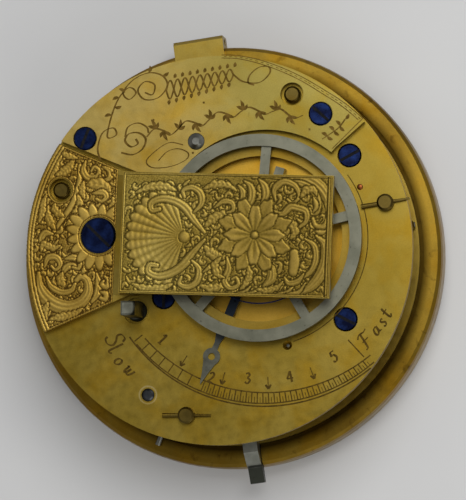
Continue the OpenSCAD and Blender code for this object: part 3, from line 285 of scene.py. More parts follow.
WEARS = {
    "fire_gilt_plate": ("pillar_plate", "regulator_cap", "potence", "counter_potence", "stop_block"),
    "gilt_plate_painted_sink_light": ("top_plate",),
    "fire_gilt_bridge": ("barrel_bridge",),
    "fire_gilt_cock": ("balance_cock", "hinge_lug"),
    "fire_gilt_edge": ("brass_edge",),
    "turned_brass": ("great_wheel", "centre_wheel", "third_wheel", "contrate_wheel", "crown_wheel",
        "minute_wheel", "hour_wheel", "mainspring_barrel", "barrel_cover", "fusee_cone",
        "fusee_ratchet", "balance_collet", "escape_plug"),
    "riveted_brass": ("pillars", "pillar_pins"),
    "ground_ring_steel": ("balance_wheel", "hairspring_stud"),
    "square_steel_painted_shade": ("fusee_arbor",),
    "bolt_steel": ("case_bolt",),
    "pointer_steel": ("regulator_lever",),
    "oiled_steel": ("edge_pins", "cap_screws", "verge_staff", "barrel_arbor", "setup_ratchet",
        "setup_click", "fusee_click", "fusee_cap", "centre_arbor", "cannon_pinion", "third_arbor",
        "contrate_arbor", "escape_arbor", "stop_iron", "minute_post", "bolt_screw"),
    "blued_screw_steel": ("bridge_screws", "cock_screw", "potence_screws", "setup_click_screw"),
    "blued_spring_steel": ("hairspring", "mainspring", "click_spring", "stop_spring", "bolt_spring"),
    "brown_steel": ("stop_stud", "fusee_chain"),
}
for material, nodes in WEARS.items():
    for name in nodes:
        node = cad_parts[name]
        node.data.materials.clear()
        node.data.materials.append(MATERIALS[material])
        node.data.shade_smooth()
        node.modifiers.new("crisp", "EDGE_SPLIT").split_angle = CREASE


# Curves drawn through a few points
def through(points, step):
    """A smooth line through the points, with a point about every step, as an array. Between b and c it
    is a cubic that leaves b in the direction from a to c and reaches c in the direction from b to d."""
    p = np.array(points, float)
    if len(p) < 3:
        count = max(2, int(np.linalg.norm(p[-1] - p[0]) / step) + 1)
        return p[0] + np.linspace(0, 1, count)[:, None] * (p[-1] - p[0])
    q = np.vstack([2 * p[0] - p[1], p, 2 * p[-1] - p[-2]])
    out = []
    for a, b, c, d in zip(q, q[1:], q[2:], q[3:]):
        count = max(2, int(np.linalg.norm(c - b) / step) + 1)
        t = np.linspace(0, 1, count, endpoint=False)[:, None]
        out.append(0.5 * (2 * b + (c - a) * t + (2 * a - 5 * b + 4 * c - d) * t ** 2
                          + (3 * b - a - 3 * c + d) * t ** 3))
    return np.vstack(out + [p[-1:]])


def deselect():
    bpy.ops.object.select_all(action="DESELECT")


def mode(name):
    bpy.ops.object.mode_set(mode=name)


def new_grid(nx, ny):
    """A new piece of nx by ny faces, still to be shaped."""
    deselect()
    bpy.ops.mesh.primitive_grid_add(x_subdivisions=nx, y_subdivisions=ny, size=1)
    return bpy.context.object


def put_points(piece, places):
    """Moves the piece's points to their places, in millimetres."""
    piece.data.vertices.foreach_set("co", (places * MM).ravel())


def select_faces(piece, chosen):
    """Opens the piece for editing with just the chosen faces selected, one flag for each face."""
    mode("EDIT")
    bpy.ops.mesh.select_mode(type="FACE")
    bpy.ops.mesh.select_all(action="DESELECT")
    mode("OBJECT")
    piece.data.polygons.foreach_set("select", chosen)
    mode("EDIT")


def turn_normals_out():
    """Makes the normals of the piece open for editing agree, and closes it."""
    bpy.ops.mesh.select_all(action="SELECT")
    bpy.ops.mesh.normals_make_consistent()
    mode("OBJECT")


def finish_piece(piece, name, material, bend=None):
    """Names and finishes a piece. Without a bend it rides on the frame; given one (a body with the start
    and end of a bend), only its transform is baked into its mesh."""
    piece.name = name
    piece.data.materials.append(MATERIALS[material])
    if bend:
        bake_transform(piece)
    else:
        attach(piece, "frame")


# Engraving: each cut is a flat strip along its line, filled with old oil
CUT_LIFT = 0.006
# Cuts that cross lie at slightly different heights, taken in turn
LAYERS, LAYER = 9, 0.0004


def engrave(name, cuts, level, material="engraved_line"):
    """Lays the cuts, (width, line) pairs, just over the level as one piece: one long strip along all
    the lines, without the faces that would join one line to the next."""
    ends = np.cumsum([len(line) for _, line in cuts])
    count = int(ends[-1])
    piece = new_grid(1, count - 1)
    places = np.empty((2 * count, 3))
    for number, (end, (width, line)) in enumerate(zip(ends, cuts)):
        along = np.gradient(line, axis=0)
        along /= np.linalg.norm(along, axis=1)[:, None] + 1e-9
        side = np.stack([-along[:, 1], along[:, 0]], 1)
        half = (np.asarray(width) * np.ones(len(line)))[:, None] / 2
        strip = places[2 * (end - len(line)):2 * end]
        strip[0::2, :2] = line + side * half
        strip[1::2, :2] = line - side * half
        strip[:, 2] = level + LAYER * (number % LAYERS)
    put_points(piece, places)
    joins = np.zeros(len(piece.data.polygons), bool)
    joins[ends[:-1] - 1] = True
    select_faces(piece, joins)
    bpy.ops.mesh.delete(type="FACE")
    turn_normals_out()
    select_faces(piece, [face.normal.z < 0 for face in piece.data.polygons])
    bpy.ops.mesh.flip_normals()
    mode("OBJECT")
    finish_piece(piece, name, material)


def arc(centre, radius, start, end, step=1.2):
    """Points round an arc, a step of degrees apart."""
    angles = np.radians(np.linspace(start, end, max(2, int(abs(end - start) / step))))
    return np.array(centre) + radius * np.stack([np.cos(angles), np.sin(angles)], 1)


def nib(line, width):
    """A cut that swells where it runs down and thins where it runs across, as a graver's does."""
    along = np.gradient(line, axis=0)
    turn = np.arctan2(along[:, 1], along[:, 0])
    return width * (0.4 + 0.6 * np.abs(np.sin(turn - radians(15))))


# Figures and letters as strokes, in hundredths of their height
GLYPHS = {
    "1": [((5, 78), (27, 100), (27, 0)), ((8, 0), (46, 0))],
    "2": [((2, 78), (20, 100), (42, 82), (30, 45), (0, 0)), ((0, 0), (25, 8), (50, 0))],
    "3": [((4, 88), (26, 100), (40, 78), (20, 56)), ((20, 56), (45, 32), (25, 0), (0, 14))],
    "4": [((38, -5), (38, 100)), ((38, 100), (0, 32)), ((0, 32), (58, 32))],
    "5": [((50, 100), (14, 100)), ((14, 100), (8, 58)), ((8, 58), (30, 66), (48, 34), (25, 0), (0, 14))],
    "S": [((68, 80), (58, 100), (30, 96), (22, 72), (42, 50), (52, 22), (30, 0), (2, 4), (-5, 22))],
    "F": [((0, 4), (16, 6), (26, 40), (38, 96)), ((5, 84), (30, 100), (62, 94), (86, 100)),
          ((14, 50), (60, 52))],
    "l": [((20, 100), (10, 50), (2, 10), (12, 0), (24, 12))],
    "o": [((30, 52), (10, 42), (2, 16), (14, 0), (34, 12), (40, 36), (28, 52))],
    "w": [((0, 42), (10, 50), (6, 10), (16, 0), (32, 46)),
          ((32, 46), (26, 10), (40, 0), (56, 30), (60, 52))],
    "a": [((40, 48), (16, 44), (2, 16), (12, 0), (30, 16), (42, 48)), ((42, 48), (36, 10), (52, 6))],
    "s": [((36, 46), (20, 52), (12, 38), (28, 18), (16, 0), (0, 8))],
    "t": [((26, 84), (12, 20), (18, 0), (34, 12)), ((0, 54), (42, 54))],
}


# What is written round the scale: glyph, angle, radius and size
WORDS = [
    ("1", -142.8, 14.35, 1.05), ("2", -117.6, 14.95, 1.05), ("3", -103.1, 14.25, 1.05),
    ("4", -85.9, 14.35, 1.05), ("5", -66, 14.2, 1.05),
    ("S", -154.4, 18.4, 1.75), ("l", -151, 18.75, 1.65), ("o", -147.6, 18.95, 1.5),
    ("w", -143.6, 18.8, 1.5), ("F", -52.8, 15.2, 1.6), ("a", -46.3, 15, 1.5),
    ("s", -42, 15.05, 1.45), ("t", -38.4, 15, 1.45),
]
GLYPH_MIDDLE = (0.25, 0)
# The scale's three ruled lines, which share no centre: centre and radius
INNER_LINE = (5.139, 1.483), 16.301
BAND_LINE = (4.813, 0.888), 16.715
OUTER_LINE = (4.809, 0.555), 16.668
WIDE_STEP, FINE_STEP = 4.1, 2.05
ARROWS = (-130.5, -113, -94.8, -76.7)


def write(glyph, angle, radius, size):
    """A figure or letter, upright towards the balance, at an angle and radius from its axis."""
    axes = np.array([ray(angle + 90), ray(angle + 180)])
    foot = BALANCE + radius * ray(angle)
    cuts = []
    for stroke in GLYPHS[glyph]:
        local = through(np.array(stroke) / 100, 0.06) - GLYPH_MIDDLE
        cuts.append((nib(local, 0.23), foot + size * local @ axes))
    return cuts


def graduation(angle, start=0):
    """A cut across the scale's band, seen from the balance's axis, from a share of the band outwards."""
    ends = []
    for centre, radius in (INNER_LINE, BAND_LINE):
        to = BALANCE - centre
        b = to @ ray(angle)
        ends.append(BALANCE + ray(angle) * (-b + sqrt(b * b - to @ to + radius ** 2)))
    return np.array([ends[0] + (ends[1] - ends[0]) * t for t in (start, 1)])


def scale_cuts():
    """The regulator's scale: a ruled band, graduations, arrows, figures and the two words; and the
    turned line outside the cap."""
    cuts = [(0.13, arc(*INNER_LINE, -146, -59)), (0.13, arc(*BAND_LINE, -147.5, -57.5)),
            (0.15, arc(*OUTER_LINE, -152, -59)), (0.1, arc(BALANCE, 10.6, -80, 28))]
    wide, fine = np.arange(-149.5, -122, WIDE_STEP), np.arange(-119.5, -58, FINE_STEP)
    cuts += [(0.12, graduation(angle)) for angle in (*wide, *fine)]
    cuts += [(0.07, graduation(angle + 1.02, 0.42)) for angle in fine]
    cuts.append((0.13, np.array([BALANCE + 13.2 * ray(-57), BALANCE + 15.5 * ray(-56.7)])))
    for angle in ARROWS:
        along, side = ray(angle), ray(angle + 90)
        tip = BALANCE + 14.75 * along
        cuts.append((0.1, np.array([BALANCE + 13.55 * along, tip])))
        cuts += [(0.2, np.array([tip, tip - 0.42 * along + hand * 0.26 * side])) for hand in (1, -1)]
    for place in WORDS:
        cuts += write(*place)
    return cuts


# Each drawing has a sheet of its own, X to the right and Y down: its corner and axes in millimetres.
# On the table X runs along the cock from the balance's axis; the other places are the movement's own
TABLE_SHEET = (-14.042857, 6.522786), np.array([(1, 0.035), (0, -1)]) / 70
FOOT_SHEET = (-17.70185, 13.09465), np.array([(0.10014, -0.01521), (-0.01283, -0.09858)]) / 8.25
BRIDGE_SHEET = (-12.877, 21.9798), np.array([(0.0989, -0.01577), (-0.01326, -0.09856)]) / 5.058


def laid(sheet, points):
    """Points of a sheet as places on the work, to a hundredth of a millimetre."""
    corner, axes = sheet
    return np.round(corner + np.array(points) @ axes, 2)


def strokes_on(sheet, strokes):
    """The strokes of a sheet with their widths and points in millimetres."""
    return [(np.array(widths) / 100, flutes, lobes, laid(sheet, points))
            for widths, flutes, lobes, *points in strokes]


# The carved strokes, in the order of cutting: half widths from end to end in hundredths of a
# millimetre, count of flutes, count of lobes, and points
TABLE_STROKES = strokes_on(TABLE_SHEET, [
    ((10, 30, 26, 16), 2, 0, (640, 470), (560, 380), (500, 300), (420, 250), (330, 235), (262, 262),
     (268, 312), (318, 306)),
    ((10, 30, 26, 16), 2, 0, (640, 520), (560, 610), (500, 690), (420, 745), (330, 765), (262, 735),
     (268, 688), (318, 692)),
    ((8, 24, 20, 10), 2, 0, (560, 330), (610, 270), (600, 200), (540, 160), (480, 180), (490, 225)),
    ((8, 24, 20, 10), 2, 0, (560, 660), (610, 720), (600, 800), (540, 840), (480, 820), (490, 775)),
    ((6, 34, 30, 6), 1, 5, (640, 430), (690, 380), (760, 350), (830, 360)),
    ((6, 34, 30, 6), 1, 5, (640, 560), (690, 610), (750, 640), (800, 640)),
    ((6, 30, 26, 5), 1, 6, (430, 180), (350, 150), (250, 150), (150, 190)),
    ((6, 30, 26, 5), 1, 6, (430, 820), (350, 850), (250, 850), (150, 815)),
    ((6, 28, 22, 5), 1, 5, (620, 170), (700, 140), (790, 150), (850, 190)),
    ((6, 28, 22, 5), 1, 5, (620, 830), (700, 850), (780, 830), (830, 780)),
    ((5, 20, 16, 8), 2, 0, (700, 300), (760, 260), (820, 270), (830, 320), (790, 335)),
    ((5, 20, 16, 8), 2, 0, (640, 740), (700, 700), (750, 720), (750, 770), (710, 780)),
    ((12, 42, 46, 40, 24, 12), 3, 0, (960, 95), (1090, 72), (1230, 84), (1350, 120), (1440, 190),
     (1490, 290), (1490, 390), (1450, 440), (1400, 430), (1380, 385)),
    ((6, 22, 22, 16, 8), 2, 0, (1180, 130), (1280, 140), (1370, 190), (1415, 270), (1410, 340),
     (1370, 350), (1355, 315)),
    ((8, 36, 40, 34, 10), 3, 0, (1405, 500), (1465, 560), (1480, 660), (1450, 760), (1380, 850),
     (1290, 895)),
    ((6, 20, 22, 16, 8), 2, 0, (1330, 520), (1395, 570), (1410, 660), (1380, 740), (1320, 780),
     (1270, 760)),
    *[((5, 17, 13, 5), 1, 0, (x - 60, 905), (x, 898), (x + 55, 878), (x + 95, 845 - 4 * i))
      for i, x in enumerate(range(800, 1251, 75))],
    ((6, 26, 28, 12), 2, 0, (1000, 110), (1040, 160), (1050, 220), (1030, 270)),
    ((6, 26, 24, 10), 2, 0, (900, 120), (945, 160), (955, 230), (930, 290), (880, 320)),
    ((5, 20, 18, 6), 2, 0, (860, 150), (890, 190), (890, 240), (860, 275)),
    ((6, 24, 20, 12, 8), 2, 0, (1120, 260), (1110, 180), (1170, 130), (1250, 160), (1280, 230),
     (1240, 275), (1200, 250)),
    ((5, 30, 24, 5), 1, 4, (1290, 240), (1330, 190), (1380, 190), (1400, 230)),
    ((8, 24, 24, 20, 10), 2, 0, (1115, 330), (1170, 350), (1220, 305), (1270, 310), (1330, 335),
     (1335, 400), (1290, 440)),
    ((6, 30, 28, 6), 1, 4, (1215, 370), (1245, 430), (1260, 480), (1230, 520)),
    ((6, 26, 20, 6), 1, 3, (1170, 420), (1200, 470), (1180, 520)),
    ((8, 24, 24, 18, 8), 2, 0, (1190, 600), (1130, 600), (1085, 660), (1100, 730), (1160, 740),
     (1170, 690), (1140, 680)),
    ((30, 36, 30), 1, 0, (1260, 620), (1265, 680), (1258, 745)),
    ((5, 20, 20, 6), 2, 0, (1200, 780), (1230, 820), (1290, 810), (1330, 760)),
    ((6, 30, 34, 10), 3, 0, (1040, 700), (1105, 720), (1110, 790), (1060, 840)),
    ((6, 24, 22, 6), 1, 5, (940, 690), (960, 760), (930, 830), (900, 860)),
    ((6, 24, 20, 14, 8), 2, 0, (800, 640), (815, 720), (790, 800), (830, 850), (885, 830), (870, 780),
     (840, 790)),
    ((5, 26, 22, 5), 1, 4, (760, 640), (720, 690), (740, 760), (790, 780)),
    ((5, 22, 20, 5), 1, 5, (1010, 860), (1080, 870), (1150, 850), (1190, 810)),
    ((5, 18, 16, 5), 1, 0, (1400, 470), (1440, 480), (1470, 470)),
    ((5, 18, 15, 5), 1, 0, (1380, 240), (1400, 300), (1380, 340)),
])
FOOT_STROKES = strokes_on(FOOT_SHEET, [
    ((14, 46, 50, 42, 30, 16), 3, 0, (110, 1060), (120, 1180), (180, 1270), (280, 1330), (380, 1335),
     (470, 1290), (520, 1210), (510, 1120), (460, 1085), (420, 1120)),
    ((6, 22, 22, 12), 2, 0, (175, 1090), (215, 1170), (300, 1215), (380, 1200), (410, 1150)),
    ((6, 26, 24, 10), 2, 0, (590, 1060), (605, 1150), (590, 1230), (550, 1295)),
    ((5, 20, 18, 10), 1, 0, (650, 1080), (690, 1120), (670, 1170), (630, 1150), (645, 1125)),
    ((5, 20, 18, 10), 1, 0, (620, 1210), (665, 1230), (660, 1270), (620, 1262)),
    ((5, 24, 20, 5), 1, 4, (705, 1050), (720, 1110), (705, 1180)),
    ((6, 30, 26, 8), 1, 6, (200, 1440), (290, 1420), (390, 1400), (470, 1350)),
    ((5, 26, 20, 5), 1, 4, (190, 1300), (160, 1380), (180, 1450)),
    ((6, 24, 22, 14, 8), 2, 0, (160, 1010), (190, 930), (260, 930), (290, 990), (250, 1030), (215, 1000)),
    ((6, 24, 22, 10), 2, 0, (300, 1080), (340, 1010), (400, 1000), (430, 1040)),
    ((5, 30, 26, 5), 1, 4, (330, 1170), (290, 1110), (310, 1050)),
    ((6, 24, 20, 12, 8), 2, 0, (330, 940), (400, 930), (450, 970), (440, 1020), (390, 1010)),
    ((5, 22, 20, 5), 1, 3, (470, 1060), (500, 1020), (560, 1030)),
    ((12, 20, 18, 10), 1, 0, (450, 170), (448, 290), (425, 400), (370, 520), (300, 620), (225, 735)),
    ((8, 26, 20, 12, 6), 2, 0, (225, 735), (160, 730), (130, 790), (170, 830), (210, 800)),
    ((6, 24, 22, 6), 1, 5, (130, 880), (150, 820), (230, 850), (290, 830)),
    ((5, 28, 24, 5), 1, 5, (250, 700), (210, 640), (180, 560), (190, 500)),
    ((5, 28, 24, 5), 1, 4, (320, 590), (270, 560), (240, 520), (250, 480)),
    ((5, 24, 20, 5), 1, 6, (110, 640), (140, 560), (150, 470), (180, 400)),
    ((5, 26, 22, 5), 1, 4, (390, 560), (440, 520), (450, 460), (430, 410)),
    ((5, 26, 22, 5), 1, 4, (330, 700), (380, 640), (440, 620), (470, 590)),
    ((6, 34, 30, 8), 1, 5, (190, 320), (230, 230), (250, 150), (300, 90)),
    ((6, 34, 28, 8), 1, 5, (250, 250), (320, 220), (370, 170), (400, 110)),
    ((5, 24, 20, 5), 1, 3, (300, 60), (360, 90), (430, 110)),
    ((6, 24, 22, 12, 8), 2, 0, (500, 130), (480, 210), (520, 270), (590, 260), (610, 210), (570, 180),
     (545, 215)),
    ((6, 24, 22, 12, 8), 2, 0, (640, 180), (700, 210), (700, 270), (650, 290), (615, 260)),
    ((10, 44, 40, 12), 1, 3, (510, 330), (580, 320), (650, 340), (700, 380)),
    ((5, 24, 20, 8), 1, 4, (480, 300), (470, 380), (490, 440)),
    ((6, 24, 20, 12, 8), 2, 0, (560, 400), (640, 390), (670, 430), (630, 465), (585, 445)),
    ((5, 24, 22, 6), 2, 0, (720, 240), (780, 280), (790, 350), (750, 400)),
    ((5, 26, 22, 6), 1, 4, (720, 420), (770, 450), (790, 510), (760, 550)),
    ((5, 22, 18, 5), 1, 3, (690, 520), (730, 480), (720, 430)),
    ((5, 22, 20, 6), 1, 3, (510, 480), (550, 500), (560, 540)),
])
FOOT_RADIUS = 19.08
FOOT_EDGES = [((-8.94, -3.17), (-18.38, -5.72)), ((-14.4, 12.78), (-6.93, 8.25)),
              ((-8.77, 8.73), (-10.84, -2.99))]
FOOT_HOLES = [((-14.71, 8.12), 1.18), (COCK_SCREW, 1.84)]
# For each node of screws: place, angle and length of each slot. Its shade lies just over the steel
SLOT_WIDTH, SLOT_LIFT = 0.3, 0.004
SCREW_SLOTS = {
    "bridge_screws": [((-11.6, 12.84), 60, 2.08), ((12.05, 11.59), -50, 2.08)],
    "cock_screw": [(COCK_SCREW, -52, 3.15)],
    "potence_screws": [((14.2, 7.2), 20, 2.08), ((11.6, -8.68), -35, 2.08), ((-5.98, -3.9), 80, 2.08)],
}
# The bridge's flourish: widths and points. Two of its lines cross in a plait that narrows as it runs
PLAIT = [(540 + 340 * t, 205 - 80 * t, 48 - 18 * t, 9 * pi * t) for t in np.linspace(0, 1, 37)]
FLOURISH = [
    (0.13, (205, 560), (190, 500), (215, 420), (270, 395), (285, 430), (240, 440), (262, 330),
     (300, 240), (350, 190), (385, 215), (350, 250), (320, 215), (372, 150), (450, 115), (520, 130),
     (545, 180), (500, 240), (430, 250), (395, 205), (430, 160), (480, 175), (470, 225), (430, 215)),
    (0.13, *[(x, y - swing * sin(phase)) for x, y, swing, phase in PLAIT]),
    (0.13, *[(x, y + swing * sin(phase)) for x, y, swing, phase in PLAIT]),
    (0.13, (880, 125), (930, 160), (1010, 165), (1062, 120), (1058, 85), (1010, 88), (965, 125),
     (955, 165), (985, 178)),
    (0.16, (310, 520), (370, 530), (420, 500), (435, 450), (400, 420), (350, 425), (330, 460),
     (360, 490), (395, 475), (385, 450)),
    (0.13, (330, 440), (345, 390), (395, 370), (440, 390), (450, 420)),
    (0.15, (440, 440), (480, 400), (530, 410), (560, 430), (600, 400), (640, 360), (690, 370),
     (720, 385), (760, 350), (800, 315), (850, 325), (880, 340), (920, 310), (960, 290), (1010, 310),
     (1040, 325), (1080, 310), (1120, 300), (1160, 330), (1190, 345), (1230, 330)),
    (0.1, (625, 480), (560, 468), (500, 500), (440, 560), (470, 595), (560, 590), (640, 555),
     (650, 520), (600, 500), (545, 515), (500, 560)),
    (0.14, (1325, 450), (1370, 420), (1410, 390), (1440, 350)),
]
# Where leaves grow, and their angle: in threes along the vine, singly on the branch and the scrolls
SPRIGS = [(480, 400, 110), (530, 410, -70), (600, 400, 75), (690, 370, -60), (760, 350, 95),
          (850, 325, -70), (925, 305, 100), (1010, 310, -60), (1090, 305, 95), (1165, 332, -60)]
BRANCH_LEAVES = [(1350, 435, 150), (1350, 435, -30), (1385, 408, 140), (1385, 408, -40), (1415, 383, 130),
                 (1415, 383, -50), (1440, 350, 55)]
SCROLL_LEAVES = [(300, 240, 200), (262, 330, 190), (450, 115, 80), (520, 130, 30), (275, 290, 10),
                 (330, 215, 150)]
BRIDGE_PITS = [(475, 354), (730, 266), (1262, 401), (675, 520)]
# The border: its outer line, its inner line and its end
BORDER = [
    [(820, 25), (900, 28), (1010, 50), (1120, 88), (1230, 140), (1340, 205), (1440, 270), (1528, 345)],
    [(820, 40), (900, 44), (1000, 66), (1110, 104), (1220, 156), (1325, 220), (1425, 285), (1505, 352)],
    [(1528, 345), (1375, 498)],
]
DASHES = 30


def leaves():
    """The middle lines of the flourish's leaves, on its sheet."""
    places = [(x, y, angle + turn, length) for x, y, angle in SPRIGS
              for turn, length in ((0, 52), (-50, 40), (48, 36))]
    places += [(*place, 34) for place in BRANCH_LEAVES] + [(*place, 38) for place in SCROLL_LEAVES]
    for i in range(9):
        x, y = 578 + 38 * i, 205 - 80 * 38 * (i + 1) / 340
        places += [(x, y - 54 + 2 * i, 75, 26), (x - 18, y + 56 - 2 * i, -105, 26)]
    for x, y, angle, length in places:
        tip = radians(angle)
        yield [(x, y)] + [(x + reach * cos(a), y - reach * sin(a))
                          for reach, a in ((length / 2, tip - 0.25), (length, tip))]


def flourish_cuts():
    """The bridge's plain flourish, its ruled border with short dashes, and a few pits."""
    cuts = []
    for width, *points in FLOURISH:
        line = through(laid(BRIDGE_SHEET, points), 0.08)
        cuts.append((nib(line, 1.5 * width), line))
    for points in leaves():
        line = through(laid(BRIDGE_SHEET, points), 0.08)
        cuts.append((0.34 * np.sin(pi * np.linspace(0.02, 0.98, len(line))), line))
    rails = [through(laid(BRIDGE_SHEET, points), 0.3) for points in BORDER]
    cuts += [(0.09, rail) for rail in rails]
    outer, inner = (rail[np.linspace(0, len(rail) - 1, 2 * DASHES).astype(int)] for rail in rails[:2])
    middle = (outer + inner) / 2
    cuts += [(0.07, middle[i:i + 2]) for i in range(0, 2 * DASHES - 1, 2)]
    cuts += [(0.2, np.array([place - (0.1, 0), place + (0.1, 0)]))
             for place in laid(BRIDGE_SHEET, BRIDGE_PITS)]
    return cuts


# Carving: strokes of scroll and leaf raised on a grid of points. Heights run from 0 to 1. The step
# between points, how much wider than drawn the strokes are cut, the width of the cut round them, and
# the step between the small curls under them
GRID_STEP, SWELL, OUTLINE, CURL_STEP = 0.072, 1.4, 0.1, 0.9
# The small curls' spiral, as shares of their size and turns in radians
SPIRAL = [(1.35, 0), (1, 1.2), (0.75, 2.4), (0.5, 3.6), (0.3, 4.8)]


def carve(height, x, y, strokes, grow=1.0):
    """Raises the strokes over the ground, widened by grow, with a dark cut along their outlines."""
    for widths, flutes, lobes, points in strokes:
        line = through(points, 0.07)
        share = np.linspace(0, 1, len(line))
        half = np.interp(share, np.linspace(0, 1, len(widths)), widths) * grow
        if lobes:
            half = half * (0.72 + 0.42 * np.abs(np.sin(pi * lobes * share)))
        along = np.gradient(line, axis=0)
        along /= np.linalg.norm(along, axis=1)[:, None] + 1e-9
        reach = half.max() * 1.5
        near = ((x > line[:, 0].min() - reach) & (x < line[:, 0].max() + reach)
                & (y > line[:, 1].min() - reach) & (y < line[:, 1].max() + reach))
        spots = np.nonzero(near)
        dx = x[spots][:, None] - line[None, :, 0]
        dy = y[spots][:, None] - line[None, :, 1]
        # Each place belongs to the nearest point of the middle line, where wide parts count as nearer
        nearest = np.argmin(dx ** 2 + dy ** 2 - (0.3 * half[None, :]) ** 2, axis=1)
        row = np.arange(len(nearest))
        dx, dy = dx[row, nearest], dy[row, nearest]
        hand = np.sign(along[nearest, 0] * dy - along[nearest, 1] * dx)
        # From 0 on the middle line to 1 on the edge
        aside = np.hypot(dx, dy) / half[nearest]
        dome = np.sqrt(np.clip(1 - aside ** 2, 0, 1)) ** 0.8
        if flutes > 1:
            across = pi * (flutes * (hand * aside + 1) + (flutes % 2 == 0))
            dome = dome * (0.74 + 0.26 * np.cos(across))
        elif lobes:
            veins = 0.8 + 0.2 * np.cos(2 * pi * (1.6 * lobes * share[nearest] + 0.8 * aside))
            dome = dome * veins * (0.6 + 0.4 * fade(aside * 3.5))
        old = height[spots]
        cut = np.where(aside < 1 + OUTLINE / half[nearest], np.minimum(old, 0.02), old)
        height[spots] = np.where(aside < 1, np.maximum(0.3 + 0.7 * dome, 0.12), cut)
    return height


def rosette(height, x, y, petals, reach, turn, crest):
    """A ring of pointed petals with a hollow along each."""
    r = np.hypot(x, y)
    a = np.arctan2(y, x) - turn
    around = np.abs(((a * petals / (2 * pi)) + 0.5) % 1 - 0.5) * 2
    edge = reach * (1 - 0.46 * around ** 1.5) * (1 + 0.035 * np.cos(26 * a))
    swell = (0.55 + 0.45 * fade(r / reach)) * (1 - 0.75 * fade((around - 0.62) / 0.38))
    vein = 1 - 0.55 * np.exp(-(around * r / 0.42) ** 2) * fade((reach - r) / reach * 1.6)
    rim = fade((edge - r) / 0.16)
    shape = crest * np.clip(0.12 + 0.88 * swell * vein, 0, 1) * rim
    outline = (r >= edge) & (r < edge + 0.11)
    height = np.where(r < edge, np.maximum(shape, 0.1), height)
    return np.where(outline, np.minimum(height, 0.1), height)


def rays(height, x, y, count, reach):
    """A sunburst of smooth flutes that run together at their roots."""
    r = np.hypot(x, y)
    a = np.arctan2(y, x)
    flute = np.abs(np.sin(a * count / 2))
    edge = reach * (0.76 + 0.24 * flute) * (1 + 0.06 * np.sin(3 * a + 1))
    height = np.where(r < edge + 0.13, np.minimum(height, 0.1), height)
    return np.where(r < edge, (0.62 + 0.38 * flute ** 0.7) * fade((edge - r) / 0.25), height)


def shell(height, x, y, foot, reach, ribs, spread):
    """A fan of ribs that opens towards -X, with a scalloped rim and a bead at its foot."""
    dx, dy = x - foot[0], y - foot[1]
    r = np.hypot(dx, dy)
    a = np.arctan2(dy, -dx)
    rib = (a / spread + 1) / 2 * ribs
    scallop = np.abs(np.sin(pi * rib))
    edge = reach * (0.93 + 0.07 * scallop) * (1 - 0.1 * (a / spread) ** 2)
    inside = (np.abs(a) < spread) & (r < edge) & (r > 0.5)
    swell = 0.35 + 0.65 * scallop ** 0.7
    growth = 1 - 0.10 * np.cos(2 * pi * r / 0.55) * fade((r - reach * 0.45) / 1.2)
    shape = swell * growth * (0.62 + 0.38 * fade(r / reach)) * fade((edge - r) / 0.2)
    near = (np.abs(a) < spread * 1.05) & (r < edge + 0.15)
    height = np.where(near, np.minimum(height, 0.1), height)
    height = np.where(inside, np.maximum(shape, 0.1), height)
    bead = np.sqrt(np.clip(1 - (r / 0.55) ** 2, 0, 1))
    return np.where(r < 0.62, np.maximum(bead, 0.1), height)


def boss(height, x, y, radius):
    """A round boss at the middle, in a hollow."""
    r = np.hypot(x, y) / radius
    height = np.where(r < 1.35, np.minimum(height, 0.12), height)
    return np.where(r < 1, np.sqrt(np.clip(1 - r * r, 0, 1)), height)


def filler(x0, x1, y0, y1, seed):
    """Small curls that fill the ground between the drawn strokes, as strokes of their own."""
    rng = np.random.default_rng(seed)
    out = []
    for row, y in enumerate(np.arange(y0, y1, CURL_STEP)):
        for x in np.arange(x0 + (row % 2) * CURL_STEP / 2, x1, CURL_STEP):
            cx, cy = x + rng.uniform(-0.15, 0.15), y + rng.uniform(-0.15, 0.15)
            start, size, hand = rng.uniform(0, 2 * pi), rng.uniform(0.32, 0.5), rng.choice((-1, 1))
            spiral = [(size * share, start + hand * turn) for share, turn in SPIRAL]
            curl = [(cx + radius * cos(angle), cy + radius * sin(angle)) for radius, angle in spiral]
            out.append(((0.05, 0.17, 0.16, 0.04), 1, 3, curl))
    return out


def stipple(x, y, seed):
    """The punched ground: small pits."""
    rng = np.random.default_rng(seed)
    pits = np.sin(2 * pi * (x + 0.4 * y) / 0.34) * np.sin(2 * pi * (y - 0.4 * x) / 0.31)
    return 0.34 + 0.12 * pits + 0.1 * rng.random(x.shape)


def relief_grid(x0, x1, y0, y1):
    """A grid to be carved, over a rectangle, with the X and the Y of its points."""
    nx, ny = int(round((x1 - x0) / GRID_STEP)), int(round((y1 - y0) / GRID_STEP))
    return new_grid(nx, ny), *np.meshgrid(np.linspace(x0, x1, nx + 1), np.linspace(y0, y1, ny + 1))


def drop_faces(piece, keep):
    """Deletes the grid's faces whose middles fail the test."""
    x, y, _ = np.array([face.center for face in piece.data.polygons]).T / MM
    select_faces(piece, ~keep(x, y))
    bpy.ops.mesh.delete(type="FACE")
    mode("OBJECT")


# The cock's table from its left to its right end and its half width, and its turn on the plate
TABLE_ENDS, TABLE_HALF = (-13.15, 7.5), 5.9
COCK_TURN = radians(-10)


